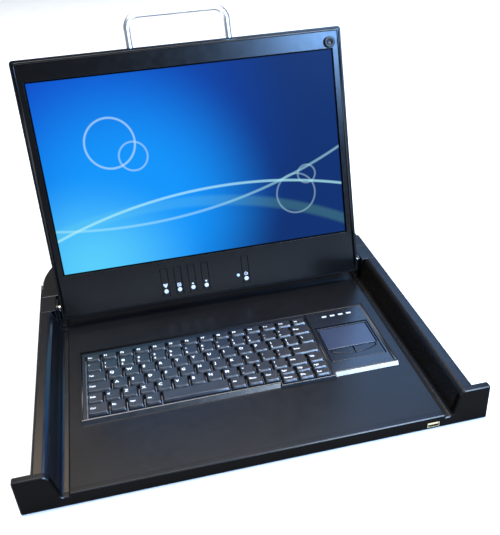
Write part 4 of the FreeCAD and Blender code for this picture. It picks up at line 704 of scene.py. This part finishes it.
def legends(row):
    """The printed legends of a row as one piece that lies a hair above the hollow tops."""
    middle, half, top_z = top_of_keys(row)
    points, triangles, count = [], [], 0
    for at, size, words in zip(middle, half, LEGENDS[row]):
        for line, height, up in legend_lines(words, size[1]):
            place, corners = text_mesh(line, height)
            place[:, 0] += at[0] - size[0] + INK_START - place[:, 0].min()
            place[:, 1] += at[1] + up
            place[:, 2] = top_z - hollow(row, place[:, 0] - at[0], size[0]) + INK_LIFT
            points.append(place)
            triangles.append(corners + count)
            count += len(place)
    no_quads = np.empty((0, 4), int)
    piece = new_mesh(f"{row}_legends", np.concatenate(points), no_quads, np.concatenate(triangles))
    piece.data.materials.append(legend_white)
    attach(piece, parts[row]["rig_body"])
    return piece


legend_white = coated("legend_ink", (0.86, 0.88, 0.92), (0.94, 0.95, 0.97), (0.45, 0.6), 0.4, 0.004)
printed = [legends(row) for row in LEGENDS]
print(sum(len(p.data.polygons) for p in printed), "faces in the legends")

# %% [markdown]
# The keyboard's frame has a low bead along its sides and its back, which is what catches the light first.
# It is one half-round section carried along the frame's outline, with mitred corners. A curve with a bevel
# could make it too, but its section would be a whole circle, half of it inside the frame.

# %% A bead along a path
BEAD_ROOT = 0.4 * MM


def open_bead(name, path, width, height, top_z, place=np.asarray):
    """A half-round bead along an open path in plan, put in its place by a function.

    At each corner the section is spread along the mitre: the sum of the two neighbouring side normals,
    divided by one plus their dot product. Across the section the height follows a half ellipse, and one more
    point in the middle sinks the bead's root below the surface.
    """
    along = np.diff(path, axis=0)
    along /= np.linalg.norm(along, axis=1)[:, None]
    normal = np.stack([along[:, 1], -along[:, 0]], 1)
    before, after = np.concatenate([normal[:1], normal]), np.concatenate([normal, normal[-1:]])
    mitre = (before + after) / (1 + (before * after).sum(1))[:, None]
    turn = np.linspace(0, math.pi, 13)
    off = np.append(np.cos(turn), 0) * width / 2
    rise = np.append(np.sin(turn) * height, -BEAD_ROOT)
    points = lifted(path[:, None] + mitre[:, None] * off[None, :, None], top_z + rise)
    count = len(off)
    corner, step = np.meshgrid(np.arange(len(path) - 1), np.arange(count), indexing="ij")
    here, beside = corner * count + step, corner * count + (step + 1) % count
    quads = np.stack([here, here + count, beside + count, beside], -1).reshape(-1, 4)
    start = np.stack([np.zeros(count - 2, int), np.arange(1, count - 1), np.arange(2, count)], 1)
    end = start[:, ::-1] + (len(path) - 1) * count
    return new_mesh(name, place(points.reshape(-1, 3)), quads, np.concatenate([start, end]))


print("root", BEAD_ROOT, "m deep")

# %% Beads of the keyboard frame
BEAD, BEAD_HEIGHT = 4.4 * MM, 0.9 * MM
RIB, RIB_HEIGHT = 2.6 * MM, 0.7 * MM
THIN_BEAD, THIN_HEIGHT = 2.0 * MM, 0.4 * MM
BACK_INSET, LEFT_END, THIN_INSET = 0.55 * BEAD, 0.5 * MM, 1.4 * MM
low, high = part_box("keyboard_frame")
frame_front = low.y + FRAME_STEP + FRAME_SLOPE + FRAME_FILLET
side, back, thin = high.x - BEAD / 2, high.y - BACK_INSET, THIN_INSET - high.x
keys_end, pad_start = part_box("function_keys")[1].x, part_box("touchpad_surround")[0].x
divide = (keys_end + pad_start) / 2
# Each bead has its path, its width and its height.
FRAME_BEADS = {
    "frame_bead": ([(LEFT_END - high.x, back), (side, back), (side, frame_front)], BEAD, BEAD_HEIGHT),
    "frame_rib": ([(divide, back - BEAD / 2), (divide, frame_front)], RIB, RIB_HEIGHT),
    "frame_bead_left": ([(thin, frame_front), (thin, back)], THIN_BEAD, THIN_HEIGHT),
}
for name, (path, width, height) in FRAME_BEADS.items():
    bead = open_bead(name, np.array(path), width, height, high.z)
    bead.data.materials.append(finishes["deck_coat"])
    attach(bead, parts["keyboard_frame"]["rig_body"])
print(len(FRAME_BEADS), "beads, one of them a rib")

# %% [markdown]
# The touchpad, its two buttons and their surround are thin plates with a rounded top edge.
# Each is a little smaller than its place, so that a dark gap frames it. The touchpad and its buttons are
# drawn from an outline; the surround has windows, so its CAD mesh is drawn in instead.

# %% Plates with a rounded top
FLAT_FROM = 1.5


def plate(node, name, outline, edge):
    """A plate in the place of a CAD node, from a closed outline that runs anticlockwise seen from above.

    The top edge is a quarter of a circle: each ring is drawn in along the outline's normals by
    edge times one less the cosine, and lies below the top by edge times one less the sine. The last ring
    lies on the flat top, FLAT_FROM edges inside the outline.
    """
    low_z, high_z = (corner.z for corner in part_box(node))
    along = np.roll(outline, -1, 0) - np.roll(outline, 1, 0)
    normal = np.stack([along[:, 1], -along[:, 0]], 1) / np.linalg.norm(along, axis=1)[:, None]
    turn = np.linspace(0, math.pi / 2, 5)
    draw = np.concatenate([[0], edge * (1 - np.cos(turn)), [FLAT_FROM * edge]])
    height = np.concatenate([[low_z], high_z - edge * (1 - np.sin(turn)), [high_z]])
    rings = lifted(outline - normal * draw[:, None, None], height[:, None])
    middle = outline.mean(0)
    points = np.concatenate([rings.reshape(-1, 3), [[*middle, low_z], [*middle, high_z]]])
    piece = new_mesh(name, points, *ring_faces(len(draw), len(outline), 1))
    piece.data.materials.append(parts[node].data.materials[0])
    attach(piece, parts[node]["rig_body"])
    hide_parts(node)
    return piece


def rounded_rectangle(low, high, radius, inset):
    """The outline of a box's plan with rounded corners, drawn in by an inset."""
    fractions, directions = rounded_outline()
    middle = np.array([(low.x + high.x) / 2, (low.y + high.y) / 2])
    half = np.array([(high.x - low.x) / 2, (high.y - low.y) / 2]) - inset
    return middle + fractions * (half - radius) + directions * radius


PAD_RADIUS, PAD_INSET, PAD_EDGE = 1.2 * MM, 0.45 * MM, 0.5 * MM
pad_low, pad_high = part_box("touchpad")
plate("touchpad", "touchpad_plate", rounded_rectangle(pad_low, pad_high, PAD_RADIUS, PAD_INSET), PAD_EDGE)
print("touchpad of", [round(v, 4) for v in pad_high - pad_low], "m")

# %% Touchpad buttons
BUTTON_GAP, BUTTON_DEPTH, BUTTON_BOW, BUTTON_EDGE = 0.40 * MM, 5.5 * MM, 7.5 * MM, 0.45 * MM


def button_outline(node, side, count=24):
    """A button's plan: a straight back, a short outer side and a front that bows as part of a circle.

    The circle's radius is the reach squared plus the bow squared, divided by twice the bow.
    """
    low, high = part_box(node)
    inner, outer = (low.x, high.x) if side > 0 else (high.x, low.x)
    reach = abs(outer - inner)
    radius = (reach ** 2 + BUTTON_BOW ** 2) / (2 * BUTTON_BOW)
    across = np.linspace(BUTTON_GAP, reach - BUTTON_GAP, count)
    front = high.y - BUTTON_DEPTH - BUTTON_BOW + radius - np.sqrt(radius ** 2 - across ** 2) + BUTTON_GAP
    back = np.full(count, high.y - BUTTON_GAP)
    x = inner + side * np.concatenate([across, across[::-1]])
    outline = np.stack([x, np.concatenate([front, back])], 1)
    return outline if side > 0 else outline[::-1]


for name, side in (("left", -1), ("right", 1)):
    node = f"touchpad_button_{name}"
    plate(node, f"{node}_cap", button_outline(node, side), BUTTON_EDGE)
print("two bowed buttons")

# %% Surround
SURROUND_LEFT, SURROUND_FRONT, SURROUND_REST = 1.5 * MM, 1.4 * MM, 1.0 * MM
SURROUND_BEVEL_MM, ON_SIDE = 0.4, 0.05 * MM


def inside_gap(points):
    """The surround's points with its outer sides drawn in, so that a gap is left round it."""
    low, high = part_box("touchpad_surround")
    x, y = points[:, 0].copy(), points[:, 1].copy()
    points[:, 0] += (x < low.x + ON_SIDE) * SURROUND_LEFT - (x > high.x - ON_SIDE) * SURROUND_REST
    points[:, 1] += (y < low.y + ON_SIDE) * SURROUND_FRONT - (y > high.y - ON_SIDE) * SURROUND_REST
    return points


surround = add_object("touchpad_surround_drawn_in", joined_copy("touchpad_surround", inside_gap))
round_edges(surround, SURROUND_BEVEL_MM, 2, False)
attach(surround, parts["touchpad_surround"]["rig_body"])
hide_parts("touchpad_surround")
print("surround", SURROUND_REST, "m and more inside its place")

# %% [markdown]
# The display's pieces are easiest to draw flat, face up, with the hinge line on the x axis.
# One matrix then leans them back with the display, so no piece needs its own turned coordinates.

# %% The display's own plane
LEAN = math.radians(15.2)
RAISE = math.radians(90) - LEAN
hinge = Vector(next(j for j in frame["joints"] if j["name"] == "display_hinge")["pos_m"])
flat_to_raised = np.array(Matrix.Rotation(RAISE, 3, "X"))
SCREEN_WIDTH, SCREEN_HEIGHT, SCREEN_FOOT = 368.6 * MM, 230.4 * MM, 44.6 * MM


def raised(points):
    """Points drawn flat, turned about the x axis and moved to the hinge line."""
    return np.asarray(points, float) @ flat_to_raised.T + np.array(hinge)


print("hinge line at", [round(v, 4) for v in hinge])

# %% [markdown]
# The display's buttons are springy tongues. Each carries a pale dot and a small printed sign.
# The dots are low domes made from rings, and the signs are flat outlines a hair above the bezel.
# A flattened ball would do for the dots, but a turned profile of our own also makes the rubber bumper.

# %% Turned pieces
def turned(name, middle, reach, height, body, material):
    """A turned piece on the flat display, in millimetres.

    Each ring is a circle times its reach, moved to the middle and lifted to its height. Poles close the ends.
    """
    around = 40
    plan = middle[:2] + on_circle(np.linspace(0, 2 * math.pi, around, endpoint=False)) * reach[:, None, None]
    poles = [[*middle[:2], height[0]], [*middle[:2], height[-1]]]
    points = np.concatenate([lifted(plan, height[:, None]).reshape(-1, 3), poles])
    piece = new_mesh(name, raised(points * MM), *ring_faces(len(reach), around, 1))
    piece.data.materials.append(material)
    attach(piece, body)
    return piece


print("turned pieces ready")

# %% Dots
FACE = 13.0
DOT_Y, DOT_RADIUS, DOT_ROOT, DOT_HEIGHT = 2.5, 3.0, 0.1, 0.45
DOME_START, DOME_TIP = 0.35, 0.1
BUTTON_X = dict(zip(DISPLAY_BUTTONS, (-62.7, -45.1, -27.5, -9.9, 43.5)))


def dot(button, x):
    """A low dome: above a short wall the radius falls as a cosine while the height rises as a sine."""
    turn = np.linspace(0, math.pi / 2, 7)[:-1]
    low, high = FACE - DOT_ROOT, FACE + DOT_HEIGHT
    reach = DOT_RADIUS * np.concatenate([[1], DOME_START + (1 - DOME_START) * np.cos(turn), [DOME_TIP]])
    rise = np.concatenate([[0], DOME_START + (1 - DOME_START) * np.sin(turn), [1]])
    return turned(f"{button}_dot", (x, DOT_Y), reach, low + (high - low) * rise, parts[button]["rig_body"],
                  dot_white)


dot_white = coated("dot_white", (0.72, 0.74, 0.78), (0.82, 0.84, 0.87), (0.35, 0.5), 0.6, 0.004)
dots = [dot(button, x) for button, x in BUTTON_X.items()]
print(len(dots), "dots")

# %% [markdown]
# A soft rubber bumper stands on the display's frame, and the frame has a thin raised rim.
# The bumper is a cup with a hollow face, turned from a profile; the rim is a bead like the keyboard frame's.

# %% Bumper
def flat_points(node):
    """A CAD node's points on the flat display, in millimetres."""
    return (points_of(parts[node].data) - np.array(hinge)) @ flat_to_raised / MM


# The cup's profile from its foot over its lip into its hollow: shares of its radius, drops below its top.
CUP_REACH = np.array([1, 1, 0.95, 0.84, 0.66, 0.56, 0.5])
CUP_DROP = np.array([0.45, 0.15, 0, 0, 0.15, 0.45])
cup_low, cup_high = (edge(flat_points("display_bumper"), axis=0) for edge in (np.min, np.max))
cup_radius = (cup_high[0] - cup_low[0]) / 2
cup = turned("bumper_cup", (cup_low + cup_high) / 2, cup_radius * CUP_REACH,
             np.append(cup_low[2], cup_high[2] - CUP_DROP), "display", finishes["soft_rubber"])
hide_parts("display_bumper")
print("bumper of radius", round(cup_radius, 2), "mm")

# %% Rim of the display
RIM_INSET, RIM_FOOT, RIM_RADIUS = 1.5, 6.0, 3.0
RIM_WIDTH, RIM_HEIGHT = 2.6 * MM, 0.7 * MM
bezel = flat_points("display_bezel")
rim_x, rim_top = bezel[:, 0].max() - RIM_INSET, bezel[:, 1].max() - RIM_INSET
corner = on_circle(np.linspace(math.pi, math.pi / 2, 7)) * RIM_RADIUS
corner += [RIM_RADIUS - rim_x, rim_top - RIM_RADIUS]
half_rim = np.concatenate([[[-rim_x, bezel[:, 1].min() + RIM_FOOT]], corner])
rim_path = np.concatenate([half_rim, half_rim[::-1] * [-1, 1]])
rim = open_bead("display_rim", rim_path * MM, RIM_WIDTH, RIM_HEIGHT, FACE * MM, raised)
rim.data.materials.append(finishes["bezel_black"])
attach(rim, "display")
print("rim of", len(rim_path), "points")

# %% Signs
SIGN_LIFT = 0.05


def flat_sign(name, outlines, body):
    """Flat faces a hair above the display's face, from outlines in millimetres on the flat display."""
    points = [(x, y, FACE + SIGN_LIFT) for outline in outlines for x, y in outline]
    ends = np.cumsum([len(outline) for outline in outlines])
    faces = [tuple(range(end - len(outline), end)) for outline, end in zip(outlines, ends)]
    mesh = bpy.data.meshes.new(name)
    mesh.from_pydata(raised(np.array(points) * MM), [], faces)
    mesh.materials.append(dot_white)
    sign = add_object(name, mesh)
    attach(sign, body)
    return sign


def band(middle, radius, width, start, end, steps=28):
    """Four-cornered outlines along an arc from a start angle to an end angle in degrees."""
    way = on_circle(np.radians(np.linspace(start, end, steps + 1)))
    outer, inner = middle + radius * way, middle + (radius - width) * way
    return np.stack([outer[:-1], outer[1:], inner[1:], inner[:-1]], 1).tolist()


def bar(x, y, width, height):
    """A rectangle by its middle and size."""
    return [(x + i * width / 2, y + j * height / 2) for i, j in ((-1, -1), (1, -1), (1, 1), (-1, 1))]


MENU, SELECT, UP, DOWN, POWER = BUTTON_X.values()
SIGNS = {
    "menu": [[(MENU - 3.0, 11.4), (MENU, 7.2), (MENU + 3.0, 11.4)], bar(MENU, 12.3, 6.0, 0.9)],
    "select": [bar(SELECT - 1.9, 9.0, 0.9, 4.6), bar(SELECT + 1.9, 9.0, 0.9, 4.6),
               bar(SELECT, 11.0, 2.9, 0.8), bar(SELECT, 7.1, 2.9, 0.8), bar(SELECT, 9.0, 1.5, 1.5)],
    "up": [[(UP - 1.7, 6.6), (UP + 1.7, 6.6), (UP, 9.4)]],
    "down": [[(DOWN, 6.4), (DOWN + 1.7, 9.2), (DOWN - 1.7, 9.2)]],
    "power": [bar(POWER, 10.6, 0.8, 2.8), *band((POWER, 9.2), 2.3, 0.8, 130, 410)],
}
for name, outlines in SIGNS.items():
    flat_sign(f"{name}_sign", outlines, parts[f"{name}_button"]["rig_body"])
print(len(SIGNS), "signs")

# %% [markdown]
# The screen is lit, so its picture is light and not paint: the colour goes to the shader's emission.
# The picture is made of formulas in the display's own plane: three glows, a few rings and two thin ribbons.
# The display leans back, so a Mapping node turns the place on the piece into the plane of the screen.
# A picture file would look the same, but formulas stay sharp at any size and can be changed by a number.

# %% Formulas for the picture
WIDE, RING_CORE = 1.6, 0.35


def screen_place(tree, place):
    """The place on the screen, x from 0 to WIDE across and y from 0 to 1 upwards."""
    mapping = tree.nodes.new("ShaderNodeMapping")
    mapping.vector_type = "TEXTURE"
    corner = raised([[-SCREEN_WIDTH / 2, SCREEN_FOOT, 0]])[0]
    fill(mapping, {"Location": corner, "Rotation": (RAISE, 0, 0), "Scale": (SCREEN_HEIGHT,) * 3})
    tree.links.new(place, mapping.inputs["Vector"])
    separate = tree.nodes.new("ShaderNodeSeparateXYZ")
    tree.links.new(mapping.outputs["Vector"], separate.inputs["Vector"])
    return separate.outputs["X"], separate.outputs["Y"]


def maths(tree, operation, first, second):
    """One step of arithmetic on two values, each a number or a socket."""
    node = tree.nodes.new("ShaderNodeMath")
    node.operation = operation
    for socket, value in zip(node.inputs, (first, second)):
        if isinstance(value, (int, float)):
            socket.default_value = value
        else:
            tree.links.new(value, socket)
    return node.outputs["Value"]


def distance(tree, x, y, centre, squeeze=1.0):
    """How far a place is from a centre, with x counted squeeze times."""
    across = maths(tree, "MULTIPLY", maths(tree, "SUBTRACT", x, centre[0]), squeeze)
    up = maths(tree, "SUBTRACT", y, centre[1])
    squared = maths(tree, "ADD", maths(tree, "MULTIPLY", across, across), maths(tree, "MULTIPLY", up, up))
    return maths(tree, "SQRT", squared, 0)


def fall(tree, value, near, far):
    """One where the value is below near, zero above far, and smooth between."""
    return carried(tree, value, near, far, 1, 0, "SMOOTHSTEP")


def ring(tree, x, y, centre, radius, width):
    """A soft ring: one on the circle and close to it, zero a width away from it."""
    off = maths(tree, "ABSOLUTE", maths(tree, "SUBTRACT", distance(tree, x, y, centre), radius), 0)
    return fall(tree, off, width * RING_CORE, width)


print("formulas ready")

# %% The lit screen
NIGHT = (0.0045, 0.030, 0.165)
# Each glow has its colour, its centre, the distances where it starts to fall and ends, and its squeeze.
GLOWS = (
    ((0.0045, 0.085, 0.62), (0.22, 0.70), 0.15, 1.25, 1.0),
    ((0.006, 0.30, 0.97), (0.40, 0.28), 0.26, 0.88, 1.0),
    ((0.10, 0.62, 0.97), (0.16, 0.02), 0.0, 0.53, 0.8),
)
# Each ring has its colour, its centre, its radius, its width and its strength. The last three are parts of
# wide circles: two thin ribbons and a broad green haze.
RING_BLUE, RIBBON_BLUE, HAZE_GREEN = (0.55, 0.85, 1.0), (0.45, 0.88, 1.0), (0.30, 0.95, 0.55)
RINGS = (
    (RING_BLUE, (0.36, 0.66), 0.13, 0.008, 0.50),
    (RING_BLUE, (0.47, 0.58), 0.075, 0.007, 0.40),
    (RING_BLUE, (1.33, 0.26), 0.11, 0.007, 0.28),
    (RING_BLUE, (1.40, 0.36), 0.05, 0.007, 0.28),
    (RIBBON_BLUE, (0.95, -2.30), 2.66, 0.010, 0.62),
    (RIBBON_BLUE, (0.4, 2.95), 2.74, 0.010, 0.40),
    (HAZE_GREEN, (0.62, -1.95), 2.25, 0.04, 0.09),
)
EDGE_FADE, SCREEN_BASE, SCREEN_GLOSS, SCREEN_MIRROR = 0.002, (0.001, 0.001, 0.001, 1), 0.28, 0.02


def lit_screen():
    """A blue picture: glows on the left, a dark right side, rings, two ribbons and a haze."""
    material, tree, shader, place = new_finish("lit_screen")
    x, y = screen_place(tree, place)
    colour = NIGHT
    for glow, centre, near, far, squeeze in GLOWS:
        colour = over(tree, colour, glow, fall(tree, distance(tree, x, y, centre, squeeze), near, far))
    for light, centre, radius, width, strength in RINGS:
        amount = maths(tree, "MULTIPLY", ring(tree, x, y, centre, radius, width), strength)
        colour = over(tree, colour, light, amount)
    edge = maths(tree, "MINIMUM", maths(tree, "MINIMUM", x, maths(tree, "SUBTRACT", WIDE, x)),
                 maths(tree, "MINIMUM", y, maths(tree, "SUBTRACT", 1.0, y)))
    colour = over(tree, colour, (0.0, 0.0, 0.0), fall(tree, edge, 0.0, EDGE_FADE))
    tree.links.new(colour, shader.inputs["Emission Color"])
    fill(shader, {"Emission Strength": 1.0, "Base Color": SCREEN_BASE, "Roughness": SCREEN_GLOSS,
                  "Specular IOR Level": SCREEN_MIRROR})
    return material


dress(["screen_module"], lit_screen())
print("screen lit")

# %% [markdown]
# The status lights and the power lamp are small milky lenses, which look pale even when they are dark.
# A real lens would need a lamp behind it; a faint glow of its own colour looks the same and costs nothing.

# %% Lenses
LENS_PATCH_MM, LENS_SHADE, LENS_GLOSS = 1.2, 0.8, 0.2


def lens_finish(name, colour, glow):
    """A milky lens with a faint light inside."""
    material, tree, shader, place = new_finish(name)
    shade = spread(tree, noise(tree, place, LENS_PATCH_MM), 0, 1)
    milk = over(tree, colour, tuple(LENS_SHADE * c for c in colour), shade)
    tree.links.new(milk, shader.inputs["Base Color"])
    tree.links.new(milk, shader.inputs["Emission Color"])
    fill(shader, {"Emission Strength": glow, "Roughness": LENS_GLOSS})
    return material


dress(["status_lights"], lens_finish("status_lens", (0.55, 0.58, 0.62), 0.25))
dress(["power_lamp"], lens_finish("lamp_lens", (0.45, 0.65, 0.9), 0.6))
print("lenses ready")
